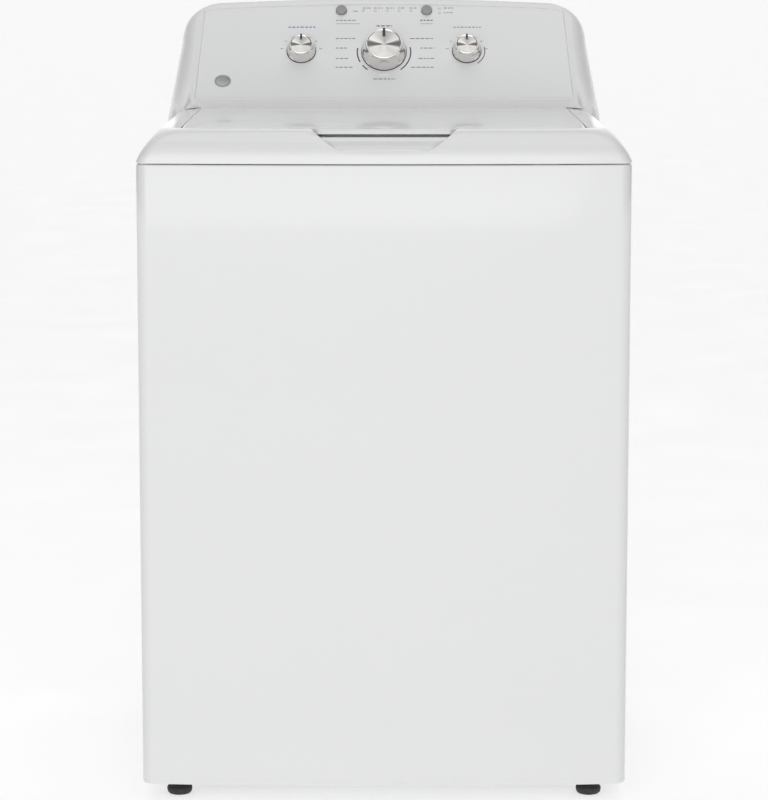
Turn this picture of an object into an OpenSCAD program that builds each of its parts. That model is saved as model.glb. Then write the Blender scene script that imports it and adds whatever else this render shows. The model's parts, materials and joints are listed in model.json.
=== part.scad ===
// Top load washing machine, free standing, with a belt-driven agitator.
// Millimetres. Origin: middle of the footprint on the floor. +Z up, the front faces -Y.

/* [Cabinet] */
// Width of the cabinet
cab_w = 686; // [676:2:696]
// Depth of the machine, from the front bow to the rear edges
cab_d = 686; // [680:2:690]
// Height of the console's crown above the floor
total_h = 1118; // [1114:1:1126]
// Height of the seam between the cabinet and the top cover
seam_z = 906; // [904:1:907]
// Gap between the floor and the lower edge of the cabinet
skirt_z = 25; // [24:1:26]
// Thickness of the steel sheet
sheet = 1.2; // [0.8:0.1:1.4]
// How far the front panel bows forward at its middle
bow = 14; // [8:1:16]
// Radius of the vertical front corners
corner_r = 18; // [14:1:20]

/* [Top cover and lid] */
// Height of the crest of the top cover
crest_z = 952; // [950:1:954]
// Radius of the rounded front of the top cover
nose_r = 43; // [38:1:44]
// Radius of the rounded sides of the top cover
hip_r = 28; // [20:1:30]
// Wall of the moulded top cover
cover_wall = 3; // [2.5:0.5:3.5]
// Height of the deck that the lid closes over
deck_z = 930; // [929:0.5:931]
// Half the width of the lid
lid_half_w = 283; // [278:1:284]
// Front edge of the lid
lid_front_y = -274; // [-276:1:-272]
// Gap all round the lid
lid_gap = 3; // [2:0.5:4]
// Height of the lid's top face
lid_top_z = 955; // [954:0.5:956]
// Thickness of the lid's steel pan
lid_t = 14; // [12:1:14]
// Width of the handle lip on the lid's front edge
handle_w = 200; // [160:5:210]
// Half width of the mouth over the tub
mouth_half_w = 215; // [205:1:220]

/* [Console] */
// Lean of the control fascia from the vertical, in degrees
lean = 36; // [34:1:38]
// Height of the lower edge of the fascia
fascia_z = 968; // [966:1:970]
// Depth position of the lower edge of the fascia
fascia_y = 215; // [213:1:217]
// Half width of the console at its base
console_half_w = 336; // [332:1:338]
// Wall of the console moulding
console_wall = 3; // [2.5:0.5:3.5]
// Radius of the cycle knob's skirt
cycle_r = 35; // [30:1:36]
// Radius of the two smaller knobs' skirts
small_r = 22.5; // [20:0.5:24]
// Distance of the smaller knobs from the middle
small_x = 130; // [120:1:136]
// Radius of the push buttons
button_r = 8.5; // [7:0.5:9]

/* [Tub] */
// Depth position of the tub's axis
tub_y = -10; // [-14:1:-6]
// Outer radius of the outer tub
tub_r = 278; // [274:1:280]
// Height of the outer tub's floor
tub_z = 290; // [288:1:292]
// Height of the outer tub's rim
rim_z = 815; // [805:1:815]
// Outer radius of the wash basket
basket_r = 258; // [254:1:260]
// Radius of the agitator's skirt
agitator_r = 150; // [130:5:160]
// Sideways distance of the suspension rods from the middle
rod_x = 250; // [248:1:252]
// Front to back distance of the suspension rods from the tub's axis
rod_dy = 235; // [233:1:237]

/* [Drive] */
// Radius of the large drive pulley
pulley_r = 105; // [95:1:108]
// Radius of the motor pulley
motor_pulley_r = 20; // [16:1:24]
// Distance of the motor's axis behind the tub's axis
motor_dy = 170; // [165:1:175]
// Radius of the motor's housing
motor_r = 58; // [52:1:60]

/* [Feet and fittings] */
// Radius of a foot pad
pad_r = 18; // [16:0.5:20]
// Radius of a foot's threaded stud
stud_r = 4.95; // [4.95]
// Outside radius of a hose inlet's thread
inlet_r = 13.3; // [13.3]
// Radius of the drain spigot
drain_r = 15; // [14:0.5:16]

/* [Hidden] */
$fn = 96;
half_w = cab_w / 2;
half_d = cab_d / 2;
cab_bottom = skirt_z;
cab_top = seam_z - 1;
cover_z = seam_z + 1;

// front bow: one arc over the whole width
bow_r = (half_w * half_w + bow * bow) / (2 * bow);
bow_cy = -half_d + bow_r;
rear_y = half_d - 15;
frame_z = cab_bottom + sheet + 0.3;
frame_h = 32;

// feet
foot_x = 293;
foot_y = 285;
foot_bore_r = stud_r + 0.05;
pad_h = 13;

// lid
lid_rear_y = 194;
recess_rear_y = 203;
recess_half_w = lid_half_w + lid_gap;
lid_bottom_z = lid_top_z - lid_t;
hinge_y = 190;
hinge_z = 944;
hinge_pin_r = 4;
mouth_front_y = -222;
mouth_rear_y = 178;
mouth_corner_r = 120;
funnel_z = 872;
scoop_bottom_w = 140;
lip_z = lid_top_z - 12;
lip_taper = 8;
lip_reach = 12;
scoop_z = 920;
scoop_back_y = -262;
scoop_floor_z = 935;
strike_x = 249;
strike_y = -120;

// console
console_top_w = console_half_w - 15;
console_corner_z = total_h - 68;
console_corner_x = 255;
crown = 6;
console_front_y = 203;
knob_s = (total_h - 81 - fascia_z) / cos(lean);
small_s = (total_h - 79.5 - fascia_z) / cos(lean);
button_s = (total_h - 18 - fascia_z) / cos(lean);
button_x = 67.5;
back_plate_y = half_d - 15;
inlet_x = [-160, -110];
inlet_z = 992;
shaft_r = 3;
fascia_t = 2.5;
fascia_foot_x = 294;
fascia_head_x = 281;
badge_at = [-253, 27];
lamp_pitch = 19;
switch_w = 26;
knob_gap = 0.6;
cycle_h = 21;
small_h = 17;
knob_cap_h = 2.5;
button_h = 9;

// rear fittings
cord_x = 250;
cord_z = 830;
cord_r = 4.6;
gland_r = 9;
rear_panel_z = 60;
screw_z = [90, 290, 490, 690, 885];
sensor_x = 190;
sensor_y = 300;
valve_y = 284;
valve_w = 90;

// tub and basket
tub_wall = 3;
tub_dish = 14;
basket_wall = 1.5;
basket_dish = 22;
basket_z = tub_z + 20;
basket_top = rim_z - 22;
lug_z = 330;
lug_h = 18;
cap_z = 188;
cap_h = 14;
spring_r = 20;
spring_wire = 2.6;
rod_r = 5;
bracket_z = 846;
rod_span = norm([rod_x, rod_dy]);

// agitator
agitator_z = basket_z + 22;
column_r = 42;
auger_z = agitator_z + 225;
auger_h = 190;

// drive
belt_z = 122;
belt_h = 16;
shaft_rd = 12;
tube_r = 20;
bearing_r = 35;
pump_x = -170;
pump_y = -90;
drain_x = -280;
drain_z = 805;
drain_route = [
    [-248, -90, 240], [-254, -90, 240], [-268, -84, 238], [-286, -56, 236], [-301, -10, 238],
    [-311, 45, 246], [-314, 100, 266], [-314, 138, 300], [-314, 152, 350],
    [-314, 156, 430], [-314, 158, 540], [-314, 160, 650], [-314, 166, 722],
    [-312, 186, 764], [-306, 216, 790], [-298, 252, 802], [-289, 284, 805],
    [-282, 304, 805], [-280, 310, 805], [-280, 315, 805]
];
fill_route = [
    [-135, 296, 964], [-135, 296, 956], [-134, 291, 944], [-130, 278, 932],
    [-124, 262, 921], [-117, 248, 914], [-110, 238, 911]
];

// ---- shared shapes ----

module ring(r_out, r_in, h) {
    difference() {
        cylinder(r = r_out, h = h);
        translate([0, 0, -1]) cylinder(r = r_in, h = h + 2);
    }
}

// extrudes a [y, z] profile across the width
module across(width) {
    translate([-width / 2, 0, 0]) rotate([90, 0, 90]) linear_extrude(width) children();
}

// extrudes an [x, z] profile from y0 back to y1
module backwards(y0, y1) {
    translate([0, y1, 0]) rotate([90, 0, 0]) linear_extrude(y1 - y0) children();
}

module rounded_rect(x0, x1, y0, y1, r) {
    translate([x0 + r, y0]) square([x1 - x0 - 2 * r, y1 - y0]);
    translate([x0, y0 + r]) square([x1 - x0, y1 - y0 - 2 * r]);
    for (x = [x0 + r, x1 - r], y = [y0 + r, y1 - r]) translate([x, y]) circle(r);
}

// plan of the cabinet: a bowed front, round front corners, open to any depth at the rear
module cabinet_plan(inset, back_y) {
    w = half_w - inset;
    r = bow_r - inset;
    c = corner_r - inset;
    cy = bow_cy - sqrt(pow(r - c, 2) - pow(w - c, 2));
    tangent_x = (w - c) * r / (r - c);
    intersection() {
        translate([0, bow_cy]) circle(r, $fn = 720);
        translate([-tangent_x, -half_d - 1]) square([2 * tangent_x, half_d]);
    }
    for (s = [-1, 1]) translate([s * (w - c), cy]) circle(c);
    translate([-w, cy]) square([2 * w, back_y - cy]);
}

// one closed tube swept along a list of points
function unit(v) = v / norm(v);
function heading(p, i) = unit(p[min(i + 1, len(p) - 1)] - p[max(i - 1, 0)]);
function hoop(p, i, r, n, ref) =
    let (t = heading(p, i), a = unit(cross(t, ref)), b = cross(t, a))
    [for (k = [0 : n - 1]) p[i] + r * (a * cos(360 * k / n) + b * sin(360 * k / n))];
module swept(p, r, n, ref) {
    last = len(p) - 1;
    points = [for (i = [0 : last]) each hoop(p, i, r, n, ref)];
    sides = [for (i = [0 : last - 1], k = [0 : n - 1])
        let (a = i * n + k, b = i * n + (k + 1) % n) each [[a, a + n, b + n], [a, b + n, b]]];
    caps = [[for (k = [0 : n - 1]) k], [for (k = [n - 1 : -1 : 0]) last * n + k]];
    polyhedron(points, concat(sides, caps));
}

module each_foot() {
    for (sx = [-1, 1], sy = [-1, 1]) translate([sx * foot_x, sy * foot_y, 0]) children();
}
module each_rod() {
    for (sx = [-1, 1], sy = [-1, 1]) translate([sx * rod_x, tub_y + sy * rod_dy, 0]) children();
}
module on_tub_axis() {
    translate([0, tub_y, 0]) children();
}
module on_motor_axis() {
    translate([0, tub_y + motor_dy, 0]) children();
}
module on_pump_axis() {
    translate([pump_x, pump_y, 0]) children();
}

// local frame on the fascia: x across, y up the slope, z out of the face
module on_fascia(x, s, h) {
    translate([x, fascia_y + s * sin(lean) - h * cos(lean), fascia_z + s * cos(lean) + h * sin(lean)])
        rotate([90 - lean, 0, 0]) children();
}

// ---- cabinet and feet ----

module cabinet_wrap() {
    color("whitesmoke") {
        translate([0, 0, cab_bottom]) linear_extrude(cab_top - cab_bottom) difference() {
            cabinet_plan(0, half_d);
            cabinet_plan(sheet, half_d + 5);
        }
        translate([0, 0, cab_bottom]) linear_extrude(sheet) difference() {
            cabinet_plan(0, half_d);
            cabinet_plan(14, half_d + 5);
        }
        for (s = [-1, 1]) translate([s * (half_w - 9.5) - 9, rear_y - sheet - 0.2, cab_bottom])
            cube([18, sheet, cab_top - cab_bottom]);
    }
}

module rear_panel() {
    color("gainsboro") difference() {
        union() {
            translate([-half_w + sheet + 0.3, rear_y, rear_panel_z])
                cube([cab_w - 2 * sheet - 0.6, sheet, cab_top - rear_panel_z]);
            for (z = [150, 620]) translate([-half_w + 60, rear_y - 4, z]) cube([cab_w - 120, 4, 4]);
        }
        translate([drain_x, rear_y + 5, drain_z]) rotate([90, 0, 0]) cylinder(r = drain_r + 6, h = 20);
        translate([cord_x, rear_y + 5, cord_z]) rotate([90, 0, 0]) cylinder(r = gland_r + 0.1, h = 20);
    }
}

module base_rect(inset) {
    front = -half_d + bow + sheet + 8 + inset;
    back = rear_y - sheet - 2 - inset;
    w = half_w - sheet - 4 - inset;
    translate([-w, front]) square([2 * w, back - front]);
}

module base_frame() {
    color("slategray") difference() {
        union() {
            translate([0, 0, frame_z]) linear_extrude(2.5) difference() {
                base_rect(0);
                base_rect(56);
            }
            translate([0, 0, frame_z]) linear_extrude(frame_h) difference() {
                base_rect(54);
                base_rect(56);
            }
            each_foot() translate([0, 0, frame_z]) cylinder(r = 12, h = frame_h);
        }
        each_foot() translate([0, 0, frame_z - 1]) cylinder(r = foot_bore_r, h = frame_h + 2);
    }
}

// threaded studs, each with its lock nut
module foot_studs() {
    color("silver") each_foot() {
        translate([0, 0, pad_h - 4]) cylinder(r = stud_r, h = 58);
        translate([0, 0, cab_bottom - 9]) cylinder(r = 9, h = 8, $fn = 6);
    }
}

module foot_pads() {
    color("dimgray") each_foot() rotate_extrude() polygon([
        [0, 0], [pad_r - 5, 0], [pad_r - 1, 3], [pad_r, 7], [pad_r, 9], [pad_r - 4, pad_h],
        [stud_r, pad_h], [stud_r, pad_h - 4], [0, pad_h - 4]
    ]);
}

// ---- top cover ----

module nose_profile(inset) {
    r = nose_r - inset;
    top = crest_z - inset;
    low = seam_z - 30;
    translate([-half_d + nose_r, crest_z - nose_r]) circle(r);
    translate([-half_d + nose_r, low]) square([cab_d, top - low]);
    translate([-half_d + inset, low]) square([nose_r, crest_z - nose_r - low]);
}

module hip_profile(inset) {
    w = half_w - inset;
    low = seam_z - 30;
    for (s = [-1, 1]) translate([s * (half_w - hip_r), crest_z - hip_r]) circle(hip_r - inset);
    translate([-w, low]) square([2 * w, crest_z - hip_r - low]);
    translate([-half_w + hip_r, low]) square([cab_w - 2 * hip_r, crest_z - inset - low]);
}

module cover_block(inset, z0) {
    intersection() {
        translate([0, 0, z0]) linear_extrude(crest_z - z0 + 1) cabinet_plan(inset, half_d - inset);
        across(cab_w) nose_profile(inset);
        backwards(-half_d, half_d - inset) hip_profile(inset);
    }
}

module mouth_plan(grow) {
    rounded_rect(-mouth_half_w - grow, mouth_half_w + grow, mouth_front_y - grow, mouth_rear_y + grow,
        mouth_corner_r + grow);
}

module scoop_plan(grow) {
    top = handle_w / 2 + lid_gap + grow;
    polygon([
        [-scoop_bottom_w / 2 - grow, scoop_z - grow], [scoop_bottom_w / 2 + grow, scoop_z - grow],
        [top - lip_taper, lip_z - 1], [top, crest_z + 5], [-top, crest_z + 5], [lip_taper - top, lip_z - 1]
    ]);
}

// ramp of the handle recess: rises from the front face to the floor under the lid's lip
module scoop_side(drop) {
    polygon([
        [-half_d - 5, scoop_z - drop], [-half_d + 2, scoop_z - drop], [-half_d + 48, scoop_floor_z - drop],
        [scoop_back_y + drop, scoop_floor_z - drop], [scoop_back_y + drop, crest_z + 5],
        [-half_d - 5, crest_z + 5]
    ]);
}

module lid_recess(grow) {
    translate([-recess_half_w - grow, lid_front_y - lid_gap - grow, deck_z - grow])
        cube([2 * (recess_half_w + grow), recess_rear_y - lid_front_y + lid_gap + 2 * grow, 60]);
}

// the whole upper moulding, before the handle's part is split off
module cover_moulding() {
    difference() {
        union() {
            difference() {
                cover_block(0, cover_z);
                difference() {
                    cover_block(cover_wall, seam_z - 25);
                    lid_recess(cover_wall);
                    intersection() {
                        backwards(-half_d - 5, scoop_back_y + 2) scoop_plan(cover_wall);
                        across(cab_w) scoop_side(cover_wall);
                    }
                }
            }
            translate([0, 0, funnel_z]) linear_extrude(deck_z - funnel_z - 1) mouth_plan(cover_wall);
            translate([0, 0, cab_top - 14]) linear_extrude(18) difference() {
                cabinet_plan(sheet + 0.6, rear_y - 2);
                cabinet_plan(sheet + 3.4, rear_y - 5);
            }
            for (s = [-1, 1]) translate([s * (recess_half_w + 8), hinge_y, hinge_z])
                rotate([0, 90, 0]) cylinder(r = 12, h = 16, center = true);
        }
        lid_recess(0);
        intersection() {
            backwards(-half_d - 5, scoop_back_y) scoop_plan(0);
            across(cab_w) scoop_side(0);
        }
        translate([0, 0, funnel_z - 1]) linear_extrude(crest_z - funnel_z) mouth_plan(0);
        for (s = [-1, 1]) translate([s * (recess_half_w + 5.5), hinge_y, hinge_z])
            rotate([0, 90, 0]) cylinder(r = 8, h = 13, center = true);
        translate([strike_x - 7, strike_y - 15, deck_z - 20]) cube([13, 30, 40]);
        translate([-276, -268, deck_z - 20]) cube([72, 60, 40]);
        translate([-190, 240, deck_z - 20]) cube([240, 75, 60]);
    }
}

// the middle of the nose, in front of the lid's recess
module scoop_zone(grow) {
    half = handle_w / 2 + lid_gap + 8 + grow;
    translate([-half, -half_d - 5, seam_z + 1 - grow])
        cube([2 * half, half_d + 5 + lid_front_y - lid_gap - cover_wall + grow, 60]);
}

module top_cover() {
    color("white") difference() {
        cover_moulding();
        scoop_zone(0.1);
    }
}

module handle_scoop() {
    color("white") intersection() {
        cover_moulding();
        scoop_zone(0);
    }
}

module lid_hinge_bushes() {
    color("lightgray") for (s = [-1, 1]) translate([s * (recess_half_w + 5.5), hinge_y, hinge_z])
        rotate([0, 90, 0]) translate([0, 0, -6]) ring(7.95, hinge_pin_r + 0.06, 12);
}

module lid_lock() {
    color("darkslategray") difference() {
        translate([strike_x + 7, strike_y - 20, deck_z - 26]) cube([30, 40, 22]);
        translate([strike_x + 6, strike_y - 4.4, deck_z - 17.4]) cube([24, 8.8, 6.8]);
    }
}

module lock_bolt() {
    color("orange") translate([strike_x + 5, strike_y - 4, deck_z - 17]) cube([16, 8, 6]);
}

module bleach_dispenser() {
    color("aliceblue") difference() {
        union() {
            translate([-267, -258, deck_z - 50]) cube([54, 40, 51]);
            translate([-279.5, -272, deck_z + 0.1]) cube([79, 67.5, 1.9]);
        }
        translate([-265, -256, deck_z - 48]) cube([50, 36, 60]);
        translate([-240, -238, deck_z - 60]) cylinder(r = 6, h = 20);
    }
}

// ---- console ----

// half outline of the console seen from the front: tapered side, round corner, crowned top
function console_half(side, top) = concat(
    [[console_half_w - side, crest_z]],
    [for (a = [0 : 9 : 90]) [
        console_corner_x + (console_top_w - side - console_corner_x) * cos(a),
        console_corner_z + (total_h - crown - top - console_corner_z) * sin(a)
    ]],
    [for (i = [1 : 6]) let (x = console_corner_x * (1 - i / 6))
        [x, total_h - top - crown * pow(x / console_corner_x, 2)]]
);
function console_outline(side, top) =
    let (h = console_half(side, top), n = len(h))
    concat(h, [for (i = [n - 2 : -1 : 0]) [-h[i][0], h[i][1]]]);

// slope point at height z, set back into the console by t
function slope_y(z, t) = fascia_y + (z - fascia_z) * tan(lean) + t / cos(lean);

// the three knobs' places on the fascia
module each_dial(h) {
    for (x = [-small_x, 0, small_x]) on_fascia(x, x == 0 ? knob_s : small_s, h) children();
}

module console_side(t) {
    top_front = total_h - 9;
    polygon([
        [console_front_y + t, crest_z], [slope_y(fascia_z - 4, t), fascia_z - 4],
        [slope_y(top_front, t), top_front - t], [slope_y(top_front, t) + 12, total_h - t],
        [half_d, total_h - t], [half_d, crest_z]
    ]);
}

module fascia_face(side_gap) {
    backwards(150, half_d) intersection() {
        polygon(console_outline(0, 9 + side_gap));
        polygon([
            [side_gap - fascia_foot_x, fascia_z + side_gap], [fascia_foot_x - side_gap, fascia_z + side_gap],
            [fascia_head_x - side_gap, total_h], [side_gap - fascia_head_x, total_h]
        ]);
    }
}

module fascia_slab(t) {
    on_fascia(0, 0, -t) translate([-half_w, -20, 0]) cube([cab_w, 260, t + 20]);
}

module console_shell() {
    color("white") difference() {
        intersection() {
            backwards(150, half_d) polygon(console_outline(0, 0));
            across(cab_w) console_side(0);
        }
        difference() {
            intersection() {
                backwards(140, half_d + 1) polygon(console_outline(console_wall, console_wall));
                across(cab_w) console_side(console_wall + fascia_t);
            }
            translate([-half_w, console_front_y, crest_z - 1]) cube([cab_w, 20, 4]);
        }
        intersection() {
            fascia_face(0);
            fascia_slab(fascia_t);
        }
        each_dial(-20) cylinder(r = 6, h = 30);
        for (s = [-1, 1]) on_fascia(s * button_x, button_s, -20) cylinder(r = button_r + 0.5, h = 30);
        each_lamp(-20) cylinder(r = 2.7, h = 30);
    }
}

module console_back() {
    color("gainsboro") difference() {
        translate([0, 0, 0.3]) backwards(back_plate_y, back_plate_y + 2)
            polygon(console_outline(console_wall + 0.3, console_wall + 9.5));
        for (x = inlet_x) translate([x, back_plate_y + 5, inlet_z]) rotate([90, 0, 0])
            cylinder(r = inlet_r + 3.2, h = 10);
        for (x = [40 : 12 : 160]) translate([x, back_plate_y - 5, 1010]) cube([5, 12, 40]);
    }
}

module control_fascia() {
    color("lightgray") difference() {
        intersection() {
            fascia_face(0.3);
            on_fascia(0, 0, -fascia_t + 0.1) translate([-half_w, -20, 0]) cube([cab_w, 260, fascia_t - 0.4]);
        }
        each_dial(-10) cylinder(r = shaft_r + 1.2, h = 30);
        for (s = [-1, 1]) on_fascia(s * button_x, button_s, -10) cylinder(r = button_r + 0.4, h = 30);
        each_lamp(-10) cylinder(r = 2.6, h = 30);
    }
}

module console_badge() {
    color("dimgray") on_fascia(badge_at[0], badge_at[1], -0.2) cylinder(r = 12.5, h = 1.6);
}

module each_lamp(h) {
    for (i = [-2 : 2]) on_fascia(i * lamp_pitch + 5, button_s + 1, h) children();
    for (s = [-4, 4]) on_fascia(button_x + 20, button_s + 1 + s, h) children();
}

module indicator_lenses() {
    color("honeydew") each_lamp(-9) cylinder(r = 2.5, h = 9.3);
}

module selector_switches() {
    color("black") each_dial(-24) difference() {
        union() {
            translate([-switch_w / 2, -switch_w / 2, 0]) cube([switch_w, switch_w, 12]);
            cylinder(r = 5.5, h = 18);
        }
        translate([0, 0, 4]) cylinder(r = shaft_r + 0.05, h = 20);
    }
}

module control_board() {
    color("seagreen") {
        on_fascia(0, 0, -26.6) {
            translate([-80, 40, 0]) cube([235, 98, 1.6]);
            translate([40, 108, 1.5]) cube([40, 24, 10]);
            translate([-70, 112, 1.5]) cube([28, 16, 9]);
        }
        on_fascia(0, 0, -12.6) translate([-90, button_s - 9, 0]) cube([190, 17, 1.4]);
    }
}

module pressure_sensor() {
    color("ivory") translate([sensor_x, sensor_y, crest_z + 12]) {
        cylinder(r = 18, h = 22);
        translate([0, 0, -10]) ring(4, 2, 10.5);
    }
}

module inlet_valve() {
    color("ivory") {
        translate([inlet_x[0] - 20, valve_y, inlet_z - 20]) cube([valve_w, 41, 40]);
        for (x = inlet_x) translate([x, half_d - 1, inlet_z]) rotate([90, 0, 0]) ring(inlet_r, 9, 21);
        for (x = inlet_x) translate([x, 310, inlet_z + 19]) cylinder(r = 15, h = 34);
        translate([-135, 296, inlet_z - 28]) ring(8, 6, 9);
    }
}

module fill_hose() {
    color("dimgray") swept(fill_route, 9, 10, [1, 0.2, 0.1]);
}

module fill_nozzle() {
    color("white") difference() {
        union() {
            translate([-150, 182, 896]) cube([70, 48, 30]);
            translate([-112, 229, 911]) rotate([-90, 0, 0]) cylinder(r = 10, h = 8);
        }
        translate([-147, 181, 899]) cube([64, 46, 24]);
    }
}

module cord_gland() {
    color("black") translate([cord_x, rear_y + sheet + 6, cord_z]) rotate([90, 0, 0]) difference() {
        union() {
            cylinder(r = gland_r + 4, h = 5.9);
            cylinder(r = gland_r, h = 20);
        }
        translate([0, 0, -1]) cylinder(r = cord_r, h = 22);
    }
}

module drain_port() {
    color("gray") {
        translate([drain_x, half_d - 1, drain_z]) rotate([90, 0, 0]) ring(drain_r, drain_r - 3, 28);
        translate([drain_x, rear_y - 0.1, drain_z]) rotate([90, 0, 0]) ring(drain_r + 9, drain_r - 1, 3);
    }
}

module drain_hose() {
    color("dimgray") swept(drain_route, 13, 10, [1, 0.3, 0]);
}

module panel_screws() {
    color("silver") {
        for (sx = [-1, 1], z = screw_z) translate([sx * (half_w - 12), rear_y + sheet + 2.4, z])
            rotate([90, 0, 0]) {
                cylinder(r = 4.5, h = 2.4);
                cylinder(r = 1.9, h = 9);
            }
        for (sx = [-1, 1], z = [972, 1050]) translate([sx * 300, back_plate_y + 4.4, z]) rotate([90, 0, 0]) {
            cylinder(r = 4, h = 2.4);
            cylinder(r = 1.7, h = 8);
        }
    }
}

// ---- suspension ----

module suspension_brackets() {
    color("silver") for (sx = [-1, 1], sy = [-1, 1]) difference() {
        union() {
            translate([sx * (half_w - sheet - 60) - 59.9, tub_y + sy * rod_dy - 22, bracket_z])
                cube([119.8, 44, 3]);
            translate([sx * (half_w - sheet - 1.6) - 1.5, tub_y + sy * rod_dy - 22, bracket_z - 50])
                cube([3, 44, 53]);
        }
        translate([sx * rod_x, tub_y + sy * rod_dy, bracket_z - 1]) cylinder(r = rod_r + 1.5, h = 5);
    }
}

module suspension_rods() {
    color("gray") each_rod() {
        translate([0, 0, cap_z - 6]) cylinder(r = rod_r, h = bracket_z + 12 - cap_z);
        translate([0, 0, bracket_z + 3]) cylinder(r1 = 8, r2 = 14, h = 6);
        translate([0, 0, bracket_z + 9]) cylinder(r = 14, h = 5);
    }
}

module rod_end_caps() {
    color("black") each_rod() translate([0, 0, cap_z]) difference() {
        union() {
            cylinder(r = 25, h = 4);
            cylinder(r = 14, h = cap_h);
        }
        translate([0, 0, -1]) cylinder(r = rod_r + 0.05, h = cap_h + 2);
    }
}

module suspension_springs() {
    turns = 6;
    steps = 12;
    z0 = cap_z + 4 + spring_wire;
    rise = lug_z - spring_wire - 0.4 - z0;
    coil = [for (i = [0 : turns * steps]) [
        spring_r * cos(360 * i / steps), spring_r * sin(360 * i / steps), z0 + rise * i / (turns * steps)
    ]];
    color("silver") each_rod() swept(coil, spring_wire, 5, [0, 0, 1]);
}

// ---- tub ----

// a round vessel from z0 up to z1 whose bottom edge is chamfered by dish
module dished(z0, r, dish, z1) {
    translate([0, 0, z0]) cylinder(r1 = r - dish, r2 = r, h = dish, $fn = 180);
    translate([0, 0, z0 + dish]) cylinder(r = r, h = z1 - z0 - dish, $fn = 180);
}

module outer_tub() {
    color("lightsteelblue") difference() {
        on_tub_axis() {
            dished(tub_z, tub_r, tub_dish, rim_z);
            translate([0, 0, rim_z - 8]) cylinder(r = tub_r + 8, h = 8, $fn = 180);
            for (sx = [-1, 1], sy = [-1, 1]) rotate([0, 0, atan2(sy * rod_dy, sx * rod_x)]) {
                translate([tub_r - 8, -18, lug_z]) cube([rod_span - tub_r + 8, 36, lug_h]);
                translate([tub_r - 4, -3, lug_z]) cube([30, 6, 70]);
                translate([rod_span, 0, lug_z]) cylinder(r = 27, h = lug_h);
            }
        }
        on_tub_axis() {
            dished(tub_z + tub_wall, tub_r - tub_wall, tub_dish, rim_z + 1);
            translate([0, 0, tub_z - 1]) cylinder(r = 48, h = 20);
        }
        each_rod() translate([0, 0, lug_z - 1]) cylinder(r = rod_r + 2, h = lug_h + 2);
        on_pump_axis() translate([0, 0, tub_z - 1]) cylinder(r = 15, h = 20);
    }
}

module tub_ring() {
    color("white") on_tub_axis() translate([0, 0, rim_z]) rotate_extrude($fn = 180) polygon([
        [tub_r + 8, 0], [tub_r + 8, 4], [tub_r - 6, 12], [222, 16], [212, 34], [208, 34],
        [206, 12], [tub_r - 12, 6], [tub_r - 6, 0]
    ]);
}

module tub_support() {
    color("slategray") translate([0, 0, tub_z - 12]) linear_extrude(11.8) difference() {
        translate([0, tub_y]) {
            for (a = [45, 135]) rotate(a) translate([-250, -28]) square([500, 56]);
            circle(110);
            translate([-70, 40]) square([140, 198]);
        }
        translate([0, tub_y]) circle(48);
        translate([0, tub_y + motor_dy]) circle(12);
        translate([pump_x, pump_y]) circle(23);
    }
}

module bearing_housing() {
    color("silver") on_tub_axis() difference() {
        union() {
            translate([0, 0, 168]) cylinder(r = 43, h = tub_z - 168 + 8);
            translate([0, 0, tub_z - 18]) cylinder(r = 90, h = 5.8);
        }
        translate([0, 0, 160]) cylinder(r = 26, h = 160);
        translate([0, 0, 160]) cylinder(r = bearing_r, h = 26);
        translate([0, 0, tub_z - 20]) cylinder(r = bearing_r, h = 60);
    }
}

module tub_bearings() {
    color("lightgray") on_tub_axis() {
        translate([0, 0, 169]) ring(bearing_r - 0.05, tube_r + 0.05, 16.5);
        translate([0, 0, tub_z - 19.5]) ring(bearing_r - 0.05, tube_r + 0.05, 16);
    }
}

module tub_seal() {
    color("black") on_tub_axis() translate([0, 0, tub_z - 3]) ring(bearing_r - 0.05, tube_r + 0.4, 9);
}

module motor_housing() {
    color("silver") on_motor_axis() difference() {
        union() {
            translate([0, 0, 158]) cylinder(r = motor_r, h = tub_z - 12.2 - 158);
            for (a = [0 : 90 : 270]) rotate([0, 0, a]) translate([motor_r - 4, -8, 230])
                cube([10, 16, tub_z - 12.2 - 230]);
        }
        translate([0, 0, 150]) cylinder(r = 8.3, h = 110);
        translate([0, 0, 166]) cylinder(r = 36, h = 90);
    }
}

module belt_plan(grow) {
    r1 = pulley_r + grow;
    r2 = motor_pulley_r + grow;
    // outer tangents of the two pulleys
    slant = asin((r1 - r2) / motor_dy);
    circle(r1);
    translate([0, motor_dy]) circle(r2);
    polygon([
        [r1 * cos(slant), r1 * sin(slant)], [r2 * cos(slant), motor_dy + r2 * sin(slant)],
        [-r2 * cos(slant), motor_dy + r2 * sin(slant)], [-r1 * cos(slant), r1 * sin(slant)]
    ]);
}

module drive_belt() {
    color("black") on_tub_axis() translate([0, 0, belt_z + 3]) linear_extrude(belt_h - 6) difference() {
        belt_plan(3.6);
        belt_plan(0.4);
    }
}

module drain_pump() {
    color("ivory") on_pump_axis() difference() {
        union() {
            translate([0, 0, 186]) cylinder(r = 36, h = 74);
            translate([0, 0, 255]) cylinder(r = 19, h = tub_z - 255);
            translate([0, 0, 240]) rotate([0, -90, 0]) cylinder(r = 11, h = 76);
            translate([0, 0, 182]) cylinder(r = 25, h = 5);
        }
        translate([0, 0, 224]) cylinder(r = 28, h = 28);
        translate([0, 0, 240]) cylinder(r = 14.5, h = 80);
        translate([-20, 0, 240]) rotate([0, -90, 0]) cylinder(r = 8, h = 80);
    }
}

module pump_impeller() {
    color("dimgray") on_pump_axis() translate([0, 0, 225]) {
        cylinder(r = 22, h = 2.5);
        for (a = [0 : 60 : 300]) rotate([0, 0, a]) translate([4, -1, 0]) cube([18, 2, 13]);
        cylinder(r = 5, h = 14);
    }
}

// ---- basket ----

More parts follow.
